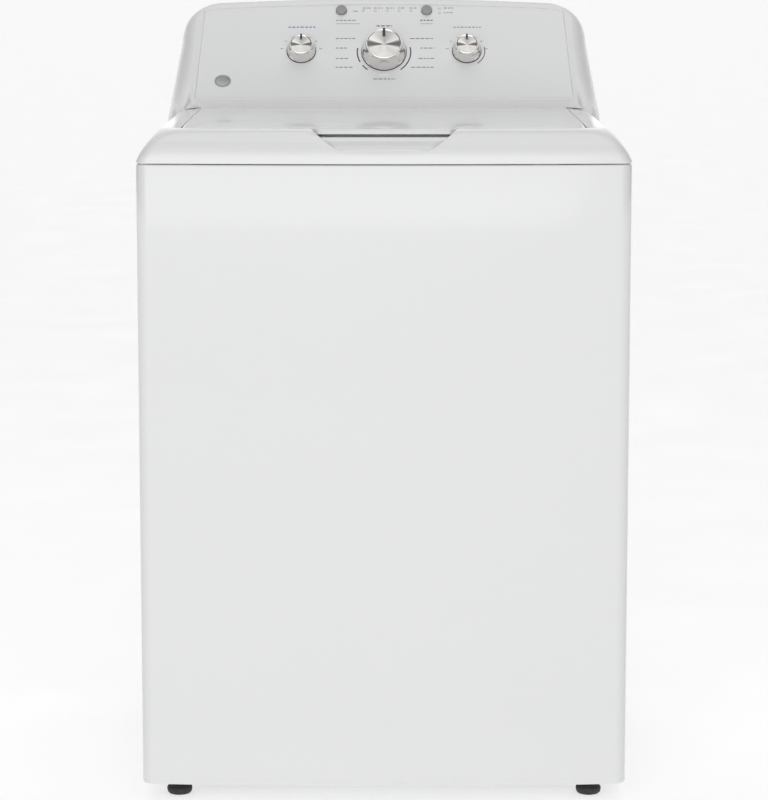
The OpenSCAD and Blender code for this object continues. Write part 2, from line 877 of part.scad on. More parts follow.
module wash_basket() {
    color("silver") on_tub_axis() difference() {
        dished(basket_z, basket_r, basket_dish, basket_top);
        dished(basket_z + basket_wall, basket_r - basket_wall, basket_dish, basket_top + 1);
        translate([0, 0, basket_z - 1]) cylinder(r = 32, h = 10);
    }
}

module basket_hub() {
    color("white") on_tub_axis() difference() {
        union() {
            translate([0, 0, basket_z - 9]) cylinder(r = 95, h = 8.8);
            translate([0, 0, basket_z - 9]) cylinder(r = 31.8, h = 26);
        }
        translate([0, 0, basket_z - 10]) cylinder(r = tube_r + 0.02, h = 40);
    }
}

module balance_ring() {
    color("white") on_tub_axis() translate([0, 0, basket_top - 44]) rotate_extrude($fn = 180) polygon([
        [basket_r - basket_wall - 0.05, 0], [basket_r - basket_wall - 0.05, 44.2], [basket_r + 3, 44.2],
        [basket_r + 3, 48], [228, 48], [222, 42], [222, 10], [232, 0]
    ]);
}

module spin_tube() {
    color("gray") on_tub_axis() translate([0, 0, 160]) ring(tube_r, shaft_rd + 0.05, basket_z + 20 - 160);
}

// ---- agitator and its drive ----

module agitator_base() {
    color("white") on_tub_axis() difference() {
        union() {
            translate([0, 0, agitator_z]) rotate_extrude() polygon([
                [0, 0], [agitator_r, 0], [agitator_r, 6], [120, 14], [80, 34], [58, 66], [50, 110],
                [column_r + 4, 222], [0, 222]
            ]);
            for (a = [0 : 90 : 270]) rotate([0, 0, a]) translate([0, 3, agitator_z + 2]) rotate([90, 0, 0])
                linear_extrude(6) polygon([
                    [20, 0], [agitator_r - 4, 0], [agitator_r - 2, 30], [118, 62], [86, 120], [66, 190],
                    [50, 215], [20, 215]
                ]);
        }
        translate([0, 0, agitator_z - 1]) cylinder(r = 36, h = 22);
        translate([0, 0, agitator_z - 1]) cylinder(r = shaft_rd + 0.02, h = 60);
        translate([0, 0, agitator_z + 58]) cylinder(r = 36, h = 200);
    }
}

module agitator_auger() {
    color("white") on_tub_axis() translate([0, 0, auger_z]) {
        ring(column_r, column_r - 4, auger_h);
        linear_extrude(180, twist = -300, slices = 36, $fn = 12) for (a = [0, 180]) rotate([0, 0, a])
            translate([column_r - 3, -3]) square([27, 6]);
    }
}

module agitator_cap() {
    color("lightsteelblue") on_tub_axis() translate([0, 0, auger_z + auger_h + 0.2]) difference() {
        union() {
            cylinder(r = column_r + 2, h = 14);
            translate([0, 0, 14]) cylinder(r1 = column_r + 2, r2 = column_r - 8, h = 16);
            translate([0, 0, -20]) cylinder(r = column_r - 5, h = 22);
        }
        translate([0, 0, -17]) cylinder(r = column_r - 9, h = 60);
    }
}

module drive_shaft() {
    color("silver") on_tub_axis() translate([0, 0, belt_z - 8])
        cylinder(r = shaft_rd, h = agitator_z + 60 - belt_z);
}

module drive_pulley() {
    color("dimgray") on_tub_axis() translate([0, 0, belt_z]) difference() {
        cylinder(r = pulley_r + 5, h = belt_h);
        translate([0, 0, 2.5]) ring(pulley_r + 20, pulley_r, belt_h - 5);
        translate([0, 0, 6]) ring(pulley_r - 10, 34, 20);
        translate([0, 0, -1]) cylinder(r = shaft_rd + 0.02, h = 40);
        for (a = [0 : 60 : 300]) rotate([0, 0, a]) translate([65, 0, -1]) cylinder(r = 18, h = 10);
    }
}

module motor_rotor() {
    color("silver") on_motor_axis() {
        translate([0, 0, belt_z - 4]) cylinder(r = 8, h = 125);
        translate([0, 0, 170]) cylinder(r = 34, h = 70);
        translate([0, 0, belt_z]) difference() {
            cylinder(r = motor_pulley_r + 5, h = belt_h);
            translate([0, 0, 2.5]) ring(motor_pulley_r + 20, motor_pulley_r, belt_h - 5);
        }
    }
}

// ---- lid ----

module lid_panel() {
    color("white") difference() {
        union() {
            translate([-lid_half_w, lid_front_y, lid_bottom_z])
                cube([2 * lid_half_w, lid_rear_y - lid_front_y, lid_t]);
            backwards(lid_front_y - lip_reach, lid_front_y + 4) polygon([
                [lip_taper - handle_w / 2, lip_z], [handle_w / 2 - lip_taper, lip_z],
                [handle_w / 2, lid_top_z], [-handle_w / 2, lid_top_z]
            ]);
        }
        translate([-lid_half_w + 2, lid_front_y + 4, lid_bottom_z - 1])
            cube([2 * lid_half_w - 4, lid_rear_y - lid_front_y - 6, lid_t - 1]);
    }
}

module lid_liner() {
    color("aliceblue") {
        translate([-lid_half_w + 2.3, lid_front_y + 4.3, lid_bottom_z - 4])
            cube([2 * lid_half_w - 4.6, lid_rear_y - lid_front_y - 6.6, 6]);
        for (s = [-1, 1]) translate([s * (lid_half_w - 17) - 12, hinge_y - 16, lid_bottom_z + 1.9])
            cube([24, 18, 9]);
        translate([strike_x - 2.5, strike_y - 9, deck_z - 21]) difference() {
            cube([4, 18, lid_bottom_z - deck_z + 19]);
            translate([-1, 3.5, 3]) cube([6, 11, 8]);
        }
    }
}

module hinge_pins() {
    color("silver") for (s = [-1, 1]) translate([s * (lid_half_w - 3), hinge_y, hinge_z])
        rotate([0, 90, 0]) cylinder(r = hinge_pin_r, h = 30, center = true);
}

// ---- knobs and buttons ----

module knob_body(r, h) {
    cylinder(r = r, h = 2.5);
    translate([0, 0, 2.5]) cylinder(r1 = r - 1, r2 = r * 0.8, h = h - 2.5);
    translate([0, 0, -19]) cylinder(r = shaft_r, h = 20);
}

// a knob's flat face with a raised pointer, width w
module knob_cap(r, face_r, w) {
    cylinder(r = face_r, h = knob_cap_h);
    translate([-w / 2, r * 0.42, knob_cap_h - 0.1]) cube([w, r * 0.34, 0.7]);
}

module cycle_knob() {
    color("silver") on_fascia(0, knob_s, knob_gap) knob_body(cycle_r, cycle_h);
}

module cycle_knob_cap() {
    color("gainsboro") on_fascia(0, knob_s, knob_gap + cycle_h + 0.05) knob_cap(cycle_r, cycle_r * 0.78, 3);
}

module water_level_knob() {
    color("silver") on_fascia(-small_x, small_s, knob_gap) knob_body(small_r, small_h);
}

module water_level_knob_cap() {
    color("gainsboro") on_fascia(-small_x, small_s, knob_gap + small_h + 0.05)
        knob_cap(small_r, small_r * 0.8, 2.4);
}

module temperature_knob() {
    color("silver") on_fascia(small_x, small_s, knob_gap) knob_body(small_r, small_h);
    color("gainsboro") on_fascia(small_x, small_s, knob_gap + small_h - 0.05)
        knob_cap(small_r, small_r * 0.8, 2.4);
}

module push_button() {
    cylinder(r = button_r, h = button_h);
    translate([0, 0, -4]) cylinder(r = shaft_r, h = 4);
}

module option_button() {
    color("gray") on_fascia(-button_x, button_s, -4.5) push_button();
}

module start_button() {
    color("gray") on_fascia(button_x, button_s, -4.5) push_button();
}

cabinet_wrap();
rear_panel();
base_frame();
foot_studs();
foot_pads();
top_cover();
handle_scoop();
lid_hinge_bushes();
lid_lock();
bleach_dispenser();
console_shell();
console_back();
control_fascia();
console_badge();
indicator_lenses();
control_board();
selector_switches();
pressure_sensor();
inlet_valve();
fill_hose();
fill_nozzle();
cord_gland();
drain_port();
drain_hose();
suspension_brackets();
suspension_rods();
rod_end_caps();
suspension_springs();
panel_screws();
outer_tub();
tub_ring();
tub_support();
bearing_housing();
tub_bearings();
tub_seal();
motor_housing();
drive_belt();
drain_pump();
wash_basket();
basket_hub();
balance_ring();
spin_tube();
agitator_base();
agitator_auger();
agitator_cap();
drive_shaft();
drive_pulley();
motor_rotor();
pump_impeller();
lid_panel();
lid_liner();
hinge_pins();
cycle_knob();
cycle_knob_cap();
water_level_knob();
water_level_knob_cap();
temperature_knob();
option_button();
start_button();
lock_bolt();
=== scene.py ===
import json
import math
import random

import bmesh
import bpy
from mathutils import Matrix, Vector


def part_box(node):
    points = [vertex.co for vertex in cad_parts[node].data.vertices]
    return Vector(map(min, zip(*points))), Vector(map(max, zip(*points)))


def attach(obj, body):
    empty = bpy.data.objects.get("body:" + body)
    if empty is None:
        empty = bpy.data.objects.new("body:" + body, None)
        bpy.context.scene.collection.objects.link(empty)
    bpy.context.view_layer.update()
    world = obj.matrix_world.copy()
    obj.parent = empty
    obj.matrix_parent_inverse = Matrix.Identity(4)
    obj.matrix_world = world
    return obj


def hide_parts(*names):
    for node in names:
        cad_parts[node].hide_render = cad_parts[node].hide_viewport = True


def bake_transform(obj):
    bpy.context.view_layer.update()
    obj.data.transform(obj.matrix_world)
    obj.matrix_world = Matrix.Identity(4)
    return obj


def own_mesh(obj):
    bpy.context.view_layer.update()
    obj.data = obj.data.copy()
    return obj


# Looks of a top load washing machine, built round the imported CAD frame.
# Shapes are worked out in millimetres on the frame's axes; add_piece() scales them to metres.

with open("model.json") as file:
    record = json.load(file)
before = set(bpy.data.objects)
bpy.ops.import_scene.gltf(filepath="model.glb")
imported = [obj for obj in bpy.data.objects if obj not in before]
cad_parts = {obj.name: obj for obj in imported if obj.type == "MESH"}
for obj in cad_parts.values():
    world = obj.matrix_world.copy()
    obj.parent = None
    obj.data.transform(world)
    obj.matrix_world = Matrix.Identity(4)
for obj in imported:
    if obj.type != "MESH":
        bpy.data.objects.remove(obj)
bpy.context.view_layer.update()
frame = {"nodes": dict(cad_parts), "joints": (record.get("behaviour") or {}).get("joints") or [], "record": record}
scene = bpy.context.scene
MM = 0.001
JOINTS = {joint["name"]: joint for joint in frame["joints"]}
MOUNTS = {mount["name"]: [v / MM for v in mount["pos_m"]] for mount in frame["record"]["mounts"]}


def box(node):
    """Lowest and highest corner of a CAD node, in millimetres."""
    low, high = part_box(node)
    return low / MM, high / MM


# ---- sizes: read from the frame where it holds them ----

wrap_low, wrap_high = box("cabinet_wrap")
HALF_W, HALF_D = wrap_high.x, wrap_high.y
SKIRT_Z, CAB_TOP = wrap_low.z, wrap_high.z
SHEET = 1.2  # thickness of the cabinet's steel
BOW = 14.0  # how far the front bulges at its middle
BOW_R = (HALF_W ** 2 + BOW ** 2) / (2 * BOW)
BOW_Y = -HALF_D + BOW_R
CORNER_R = 18.0
REAR_Y = box("rear_panel")[1].y - SHEET  # inner face of the rear panel

COVER_Z = CAB_TOP + 2  # the cover's lower edge, over the seam
FOOT_Z = COVER_Z + 1.5  # where its rounding starts
CREST_Z = box("console_shell")[0].z  # its highest line
DECK_Z = CREST_Z - 22  # the floor of the lid's recess
FUNNEL_Z = box("top_cover")[0].z  # the lower end of the mouth
NOSE_DEPTH, HIP_DEPTH = 52.0, 33.0  # how far the rounding reaches in, at the front and at the sides
HIP_POWER = 1.22  # 2 would be an ellipse, 1 a straight chamfer
CREST_CORNER_R = 40.0
MOUTH = (215.0, -222.0, 178.0, 120.0)  # half width, front, rear, corner radius

lid_low, lid_high = box("lid_panel")
LID_HALF_W, LID_REAR_Y, LID_TOP_Z = lid_high.x, lid_high.y, lid_high.z
LIP_Y, LID_BOTTOM_Z = lid_low.y, lid_low.z
LID_FRONT_Y = LIP_Y + 12
LID_GAP, SIDE_GAP = 3.0, 1.8  # between the lid and its recess, at the front and at the sides
RECESS = (LID_HALF_W + SIDE_GAP, LID_FRONT_Y - LID_GAP, LID_REAR_Y + 9, 10.0)
HINGE_Y = JOINTS["lid_hinge"]["pos_m"][1] / MM

LEAN = math.radians(36)  # the fascia leans back by this much
FASCIA_Y, FASCIA_Z = 215.0, 968.0  # the fascia's lower edge
FASCIA_FOOT_X, FASCIA_HEAD_X = 294.0, 281.0  # its half width below and above
CONSOLE_TOP = box("console_shell")[1].z
CONSOLE_FOOT_X = box("console_shell")[1].x
CONSOLE_SIDE_X = CONSOLE_FOOT_X - 15
CONSOLE_CORNER_X, CONSOLE_CORNER_Z = 255.0, CONSOLE_TOP - 68  # centre of its rounded corner
CROWN = 6.0  # how far its top edge rises to the middle

# Places on the fascia: x across, s up the slope.
BUTTON_X = 67.5
SMALL_X = 130.0
KNOB_S = (CONSOLE_TOP - 81 - FASCIA_Z) / math.cos(LEAN)
SMALL_S = (CONSOLE_TOP - 79.5 - FASCIA_Z) / math.cos(LEAN)
BUTTON_S = (CONSOLE_TOP - 18 - FASCIA_Z) / math.cos(LEAN)


# ---- small maths ----

def smooth(t):
    t = min(1.0, max(0.0, t))
    return t * t * (3 - 2 * t)


def mix(a, b, t):
    return a + (b - a) * t


def spread(start, end, count):
    """count + 1 values from start to end."""
    return [start + (end - start) * i / count for i in range(count + 1)]


def whole_turn(steps):
    """Angles round a circle, the first at 0."""
    return spread(0, 2 * math.pi, steps)[:-1]


def curve_through(points, per_span):
    """A Catmull-Rom curve through points."""
    points = [Vector(p) for p in points]
    padded = [2 * points[0] - points[1]] + points + [2 * points[-1] - points[-2]]
    path = []
    for a, b, c, d in zip(padded, padded[1:], padded[2:], padded[3:]):
        for i in range(per_span):
            t = i / per_span
            path.append(0.5 * (2 * b + (c - a) * t + (2 * a - 5 * b + 4 * c - d) * t * t
                               + (3 * b - a - 3 * c + d) * t ** 3))
    return path + [points[-1]]


# ---- shapes: each gives (vertices, faces) in millimetres ----

def loft(rings, closed=True, cap_first=False, cap_last=False):
    """A skin through rings of equally many points."""
    count = len(rings[0])
    assert all(len(ring) == count for ring in rings)
    verts = [tuple(p) for ring in rings for p in ring]
    faces = []
    for a in range(0, (len(rings) - 1) * count, count):
        for i in range(count if closed else count - 1):
            k = (i + 1) % count
            faces.append((a + i, a + k, a + count + k, a + count + i))
    if cap_first:
        faces.append(tuple(range(count)))
    if cap_last:
        faces.append(tuple(range(len(verts) - count, len(verts))))
    return verts, faces


def turned(profile, steps, closed=False):
    """A shape turned about z from (radius, z) points."""
    rings = [[(r * math.cos(a), r * math.sin(a), z) for r, z in profile] for a in whole_turn(steps)]
    return loft(rings + [rings[0]], closed=closed)


def shifted(profile, out=0.0, up=0.0):
    """A profile's (radius, z) points moved out and up."""
    return [(r + out, z + up) for r, z in profile]


def prism(outline, z0, z1):
    return loft([[(x, y, z0) for x, y in outline], [(x, y, z1) for x, y in outline]],
                cap_first=True, cap_last=True)


def block(low, high):
    (x0, y0, z0), (x1, y1, z1) = low, high
    return prism([(x0, y0), (x1, y0), (x1, y1), (x0, y1)], z0, z1)


def tube(path, radius, sides):
    """A round bar along path; radius is a number or a function of the point's index."""
    path = [Vector(p) for p in path]
    size = radius if callable(radius) else (lambda i: radius)
    tangents = [(path[min(i + 1, len(path) - 1)] - path[max(i - 1, 0)]).normalized()
                for i in range(len(path))]
    side = tangents[0].orthogonal().normalized()
    rings = []
    for i, (point, tangent) in enumerate(zip(path, tangents)):
        side = (side - tangent * side.dot(tangent)).normalized()
        up = tangent.cross(side)
        rings.append([point + size(i) * (side * math.cos(a) + up * math.sin(a)) for a in whole_turn(sides)])
    return loft(rings, cap_first=True, cap_last=True)


def joined(shapes):
    verts, faces = [], []
    for some_verts, some_faces in shapes:
        base = len(verts)
        verts += list(some_verts)
        faces += [tuple(i + base for i in face) for face in some_faces]
    return verts, faces


def moved(shape, by=(0, 0, 0), turn=0.0):
    """A shape turned about z, then moved."""
    matrix = Matrix.Translation(by) @ Matrix.Rotation(turn, 4, "Z")
    return [matrix @ Vector(v) for v in shape[0]], shape[1]


# ---- materials: procedural, in object coordinates ----

LOOKS = {}


class Graph:
    """Short calls for building a node tree."""

    def __init__(self, tree):
        self.tree = tree

    def node(self, kind, inputs=None, **settings):
        """A new node. inputs gives a socket's number or name a value or another node's output."""
        made = self.tree.nodes.new(kind)
        for key, value in settings.items():
            setattr(made, key, value)
        self.feed(made, inputs or {})
        return made

    def feed(self, node, inputs):
        for socket, value in inputs.items():
            if isinstance(value, bpy.types.NodeSocket):
                self.tree.links.new(value, node.inputs[socket])
            else:
                node.inputs[socket].default_value = value

    def noise(self, scale, detail, stretch=(1, 1, 1)):
        """Noise in the object's own coordinates."""
        place = self.node("ShaderNodeMapping", {"Vector": self.place(), "Scale": stretch})
        return self.node("ShaderNodeTexNoise", {"Scale": scale, "Detail": detail,
                                                "Vector": place.outputs["Vector"]}).outputs["Fac"]

    def place(self):
        return self.node("ShaderNodeTexCoord").outputs["Object"]

    def span(self, value, low, high, from_low=0.3, from_high=0.7, kind="LINEAR"):
        return self.node("ShaderNodeMapRange", {"Value": value, "From Min": from_low, "From Max": from_high,
                                                "To Min": low, "To Max": high},
                         interpolation_type=kind).outputs["Result"]

    def maths(self, operation, *values):
        return self.node("ShaderNodeMath", dict(enumerate(values)), operation=operation).outputs["Value"]

    def blend(self, value, first, second):
        ramp = self.node("ShaderNodeValToRGB", {"Fac": value})
        for stop, colour, position in zip(ramp.color_ramp.elements, (first, second), (0.3, 0.7)):
            stop.color, stop.position = (*colour, 1), position
        return ramp.outputs["Color"]


def look(name, colour, rough, metal=0.0, vary=0.03, cloud=9.0, grain=400.0, depth=2e-5, stretch=(1, 1, 1),
         coat=0.0, coat_rough=0.1, rough_vary=0.18, **more):
    """A finish: clouded colour, uneven roughness and a fine grain, with an optional clear coat.
    Returns its graph and its shader. more is set on the shader as it is."""
    material = bpy.data.materials.new(name)
    material.use_nodes = True
    LOOKS[name] = material
    graph, shader = Graph(material.node_tree), material.node_tree.nodes["Principled BSDF"]
    dark, light = [tuple(min(1.0, c * share) for c in colour) for share in (1 - vary, 1 + vary)]
    bump = graph.node("ShaderNodeBump", {"Distance": depth, "Strength": 0.5,
                                         "Height": graph.noise(grain, 2.0, stretch)})
    graph.feed(shader, {
        "Base Color": graph.blend(graph.noise(cloud, 4.0), dark, light),
        "Roughness": graph.span(graph.noise(cloud * 3.1, 5.0, stretch), rough * (1 - rough_vary),
                                rough * (1 + rough_vary)),
        "Normal": bump.outputs["Normal"], "Metallic": metal, "Coat Weight": coat,
        "Coat Roughness": coat_rough, **more})
    return graph, shader


def spun_painted_reflection_look(name, colour, rough, dark, light):
    """A turned metal face with a real anisotropic sheen and a painted reflection on top: two dark wedges painted
    into its colour, by angle round its axis, standing in for the mirrored dark sides of a room.
    """
    graph, shader = look(name, colour, rough, metal=1.0, vary=0.02, cloud=30, grain=1500, depth=2e-6,
                         rough_vary=0.08, Anisotropic=0.95)
    # Painted reflection: the base colour is darkened in two narrow wedges, left and right of the middle, by the
    # angle about the knob's axis.
    turn = graph.node("ShaderNodeTexGradient", {"Vector": graph.place()}, gradient_type="RADIAL")
    painted_wedges = graph.maths("PINGPONG", turn.outputs["Fac"], 0.25)
    uneven = graph.maths("MULTIPLY_ADD", graph.noise(60, 3.0), 0.01, painted_wedges)
    tangent = graph.node("ShaderNodeTangent", direction_type="RADIAL", axis="Z")
    graph.feed(shader, {"Base Color": graph.blend(graph.span(uneven, 0.0, 1.0, 0.005, 0.085), dark, light),
                        "Tangent": tangent.outputs["Tangent"]})


look("white_enamel", (0.80, 0.803, 0.805), 0.2, vary=0.002, cloud=3, grain=420, depth=7e-6, coat=0.5,
     coat_rough=0.04, rough_vary=0.05)
look("white_plastic", (0.79, 0.792, 0.793), 0.3, vary=0.003, cloud=4, grain=900, depth=6e-6, coat=0.25,
     rough_vary=0.05)
look("fascia_grey", (0.79, 0.795, 0.80), 0.36, vary=0.006, cloud=6, grain=1200, depth=5e-6, coat=0.2,
     coat_rough=0.15, rough_vary=0.08)
look("basket_steel", (0.78, 0.78, 0.785), 0.34, metal=0.9, vary=0.04, cloud=14, grain=500,
     stretch=(1, 1, 0.05), depth=1.5e-5)
# dark and light are the colours of the painted reflection wedges on the knob faces.
spun_painted_reflection_look("knob_metal", (0.76, 0.745, 0.72), 0.40, dark=(0.17, 0.165, 0.16), light=(0.84, 0.825, 0.80))
for row in (  # name, colour, roughness, metal, and how much and how finely it varies
        ("galvanised", (0.60, 0.61, 0.62), 0.42, 0.85, 0.05, 45, 300, 2e-5),
        ("knob_rim", (0.80, 0.785, 0.76), 0.12, 1.0, 0.02, 30, 1500, 1.5e-6),
        ("machined_steel", (0.55, 0.56, 0.57), 0.28, 1.0, 0.06, 40, 900, 1.5e-5),
        ("cast_alloy", (0.56, 0.57, 0.58), 0.5, 0.9, 0.08, 50, 350, 8e-5),
        ("black_rubber", (0.028, 0.028, 0.03), 0.62, 0, 0.25, 40, 600, 4e-5),
        ("grey_rubber", (0.13, 0.135, 0.14), 0.6, 0, 0.15, 40, 600, 4e-5),
        ("black_plastic", (0.03, 0.031, 0.034), 0.4, 0, 0.2, 30, 900, 2e-5),
        ("tub_plastic", (0.66, 0.68, 0.69), 0.5, 0, 0.03, 12, 500, 3e-5),
        ("badge_metal", (0.36, 0.365, 0.375), 0.3, 1.0, 0.06, 80, 1500, 1e-5),
        ("print_dark", (0.05, 0.05, 0.055), 0.45, 0, 0.08, 120, 1500, 3e-6),
        ("print_grey", (0.26, 0.265, 0.275), 0.45, 0, 0.08, 120, 1500, 3e-6),
        ("print_blue", (0.22, 0.36, 0.60), 0.45, 0, 0.06, 120, 1500, 3e-6),
        ("print_white", (0.90, 0.90, 0.90), 0.4, 0, 0.02, 120, 1500, 3e-6)):
    look(*row)
look("grey_plastic", (0.30, 0.305, 0.315), 0.38, 0, 0.04, 25, 900, 1.5e-5, coat=0.2)
look("lamp_lens", (0.70, 0.72, 0.70), 0.2, 0, 0.04, 90, 900, 5e-6, coat=0.5)
look("board_green", (0.04, 0.20, 0.10), 0.45, 0, 0.15, 60, 700, 2e-5, coat=0.2)


# ---- making a piece ----


def mesh_of(name, shape, clean=False):
    """A mesh in metres from a shape in millimetres, its normals facing out."""
    mesh = bpy.data.meshes.new(name)
    mesh.from_pydata([Vector(v) * MM for v in shape[0]], [], shape[1])
    work = bmesh.new()
    work.from_mesh(mesh)
    if clean:
        bmesh.ops.remove_doubles(work, verts=work.verts, dist=1e-6)
        bmesh.ops.dissolve_degenerate(work, edges=work.edges, dist=1e-7)
    bmesh.ops.recalc_face_normals(work, faces=work.faces)
    work.to_mesh(mesh)
    work.free()
    return mesh


def linked(name, data):
    made = bpy.data.objects.new(name, data)
    scene.collection.objects.link(made)
    return made


def soften(piece, width, segments, angle):
    """Rounds the edges sharper than angle, in degrees. width is in millimetres."""
    edge = piece.modifiers.new("edges", "BEVEL")
    edge.width, edge.segments = width * MM, segments
    edge.limit_method, edge.angle_limit = "ANGLE", math.radians(angle)
    return edge


def add_piece(name, shape, finish, body, stands_for=(), sharp=35, at=None, solid=0.0, bevel=0.0, ride=True):
    """One object of the model. shape is in the frame or, with at, in that matrix's own axes."""
    mesh = mesh_of(name, shape, clean=True)
    mesh.validate()
    mesh.shade_smooth()
    mesh.set_sharp_from_angle(angle=math.radians(sharp))
    mesh.materials.append(LOOKS[finish])
    piece = linked(name, mesh)
    if at is not None:
        piece.matrix_world = at
    if solid:
        shell = piece.modifiers.new("thickness", "SOLIDIFY")
        shell.thickness, shell.offset = solid * MM, -1.0
    if bevel:
        soften(piece, bevel, 3, 32).harden_normals = True
    if stands_for:
        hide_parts(*stands_for)
    if ride:
        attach(piece, body)
    return piece


def cut(piece, cutters):
    """Takes the cutter shapes out of a piece's mesh. Done before the piece has modifiers."""
    mesh = mesh_of("cutter", joined(cutters))
    tool = linked("cutter", mesh)
    hole = piece.modifiers.new("holes", "BOOLEAN")
    hole.operation, hole.solver, hole.object = "DIFFERENCE", "EXACT", tool
    bpy.context.view_layer.update()
    made = bpy.data.meshes.new_from_object(piece.evaluated_get(bpy.context.evaluated_depsgraph_get()))
    piece.modifiers.remove(hole)
    made.set_sharp_from_angle(angle=math.radians(35))
    old, piece.data = piece.data, made
    bpy.data.objects.remove(tool)
    for used in (old, mesh):
        bpy.data.meshes.remove(used)


# ---- plans of the cabinet and the cover ----

SIDE_N, CORNER_N, FRONT_N = 14, 12, 64  # points along each side, each front corner and the front


def corner_of(side, front, radius):
    """Centre of a front corner's arc, and the tilt of the bow where the arc meets it."""
    x = HALF_W - side - radius
    reach = BOW_R - front - radius
    return x, BOW_Y - math.sqrt(reach ** 2 - x ** 2), math.asin(x / reach)


def cabinet_plan(inset, back):
    """The cabinet's outline, open at the rear, from the left rear round the front to the right rear."""
    radius = max(CORNER_R - inset, 3.0)
    x, y, tilt = corner_of(inset, inset, radius)
    half = [(HALF_W - inset, v) for v in spread(back, y, SIDE_N)[:-1]]
    half += [(x + radius * math.cos(a), y + radius * math.sin(a))
             for a in spread(0, tilt - math.pi / 2, CORNER_N)]
    bow = BOW_R - inset
    half += [(bow * math.sin(a), BOW_Y - bow * math.cos(a)) for a in spread(tilt, 0, FRONT_N // 2)[1:]]
    half[-1] = (0, half[-1][1])
    return [(-x, y) for x, y in half] + half[-2::-1]


def cabinet_skin():
    """The bowed front and the sides, hemmed at both ends, with a flange at each rear edge."""
    hems = [(14, SKIRT_Z), (3, SKIRT_Z), (0.9, SKIRT_Z + 0.5), (0, SKIRT_Z + 2.5)]
    hems += [(0, z) for z in spread(SKIRT_Z + 2.5, CAB_TOP - 2.5, 10)[1:]]
    hems += [(0.7, CAB_TOP - 0.6), (2.2, CAB_TOP), (14, CAB_TOP)]
    rings = [[(x, y, z) for x, y in cabinet_plan(inset, HALF_D)] for inset, z in hems]
    add_piece("cabinet_skin", loft(rings, closed=False), "white_enamel", "cabinet", ["cabinet_wrap"],
              solid=SHEET, sharp=50)
    y, middle, half = REAR_Y - SHEET - 0.2, HALF_W - 9.5, 9
    flanges = [block((s * middle - half, y, SKIRT_Z + 4), (s * middle + half, y + SHEET, CAB_TOP - 2))
               for s in (-1, 1)]
    add_piece("cabinet_rear_flanges", joined(flanges), "white_enamel", "cabinet", bevel=0.3)


# ---- top cover: nose, hips, crest, lid recess, deck and mouth as one lofted moulding ----

SCOOP_FOOT_Z, SCOOP_FOOT_X, SCOOP_HEAD_X = 923.0, 66.0, 102.0  # X is the half width at its foot and head
SCOOP_WALL = 10.0
SCOOP_N, WALL_N, OUTER_N = 10, 6, 16  # columns of the front edge: in the scoop, in its wall, outside it
SCOOP_RAMP = [(-340.5, 923), (-337.5, 925.2), (-331, 927.6), (-323, 929.4), (-313, 931.4), (-304, 933.6),
              (-297.5, 935.8), (-293.5, 938.3), (-291.5, 939.8)]
SCOOP_FLOOR_Z = 940.2


def scoop_edge(z):
    """Half width of the handle scoop at height z."""
    share = min(1.2, max(0.0, (z - SCOOP_FOOT_Z) / (CREST_Z - SCOOP_FOOT_Z)))
    return mix(SCOOP_FOOT_X, SCOOP_HEAD_X, share) - 10 * max(0.0, 1 - share / 0.22) ** 2


def front_columns(end, z):
    """x of each column of the front edge's right half, from the corner to the middle, and how far
    each lies in the scoop, from 0 to 1."""
    edge = scoop_edge(z)
    inner = edge - SCOOP_WALL
    columns = [(x, 0.0) for x in spread(end, edge, OUTER_N)]
    columns += [(mix(edge, inner, t), smooth(t)) for t in spread(0, 1, WALL_N)[1:]]
    columns += [(x, 1.0) for x in spread(inner, 0, SCOOP_N)[1:]]
    return columns


def ramp_point(share):
    """(y, z) of the scoop's ramp at a share of its length."""
    at = min(max(share, 0.0), 1.0) * (len(SCOOP_RAMP) - 1)
    i = min(int(at), len(SCOOP_RAMP) - 2)
    (y0, z0), (y1, z1) = SCOOP_RAMP[i], SCOOP_RAMP[i + 1]
    return mix(y0, y1, at - i), mix(z0, z1, at - i)


def outer_loop(side, front, back, radius, z_side, z_front):
    """A closed loop that follows the cabinet's plan. The scoop is pressed into its front."""
    x, y, tilt = corner_of(side, front, radius)
    bow = BOW_R - front
    half = [(HALF_W - side, v, z_side) for v in spread(HALF_D - back, y, SIDE_N)[:-1]]
    half += [(x + radius * math.cos(a), y + radius * math.sin(a), mix(z_side, z_front, smooth(i / CORNER_N)))
             for i, a in enumerate(spread(0, tilt - math.pi / 2, CORNER_N)[:-1])]
    ramp_y, ramp_z = ramp_point((z_front - SCOOP_FOOT_Z) / (CREST_Z - SCOOP_FOOT_Z))
    for column, depth in front_columns(bow * math.sin(tilt), z_front):
        depth = depth if z_front > SCOOP_FOOT_Z else 0.0
        front_y = BOW_Y - math.sqrt(bow ** 2 - column ** 2)
        half.append((column, mix(front_y, ramp_y, depth), mix(z_front, ramp_z, depth)))
    return closed_loop(half)


def closed_loop(half):
    """Completes the right half of a loop, from the right rear corner to the middle of the front."""
    half[-1] = (0, *half[-1][1:])
    x, y, z = half[0]
    rear = [(v, y, z) for v in spread(x, -x, 24)[1:-1]]
    return [(-x, y, z) for x, y, z in half] + half[-2::-1] + rear


def rect_loop(half_w, y0, y1, radius, z, scoop_z=None, grow=0.0):
    """A closed loop with straight edges. With scoop_z, the scoop's columns of the front edge lie there."""
    half_w, y0, y1, radius = half_w + grow, y0 - grow, y1 + grow, max(radius + grow, 0.5)
    end = half_w - radius

    def corner(middle_y, angles):
        return [(end + radius * math.cos(a), middle_y + radius * math.sin(a), z) for a in angles]

    half = corner(y1 - radius, spread(math.pi / 2, 0, CORNER_N // 2)[1:])
    half += [(half_w, v, z) for v in spread(y1 - radius, y0 + radius, SIDE_N - len(half) + 1)[1:]]
    half += corner(y0 + radius, spread(0, -math.pi / 2, CORNER_N)[1:-1])
    if end > SCOOP_HEAD_X + 10:
        columns = front_columns(end, CREST_Z)
    else:
        columns = [(x, 0.0) for x in spread(end, 0, OUTER_N + WALL_N + SCOOP_N)]
    half += [(x, y0, mix(z, scoop_z, depth) if scoop_z else z) for x, depth in columns]
    return closed_loop(half)


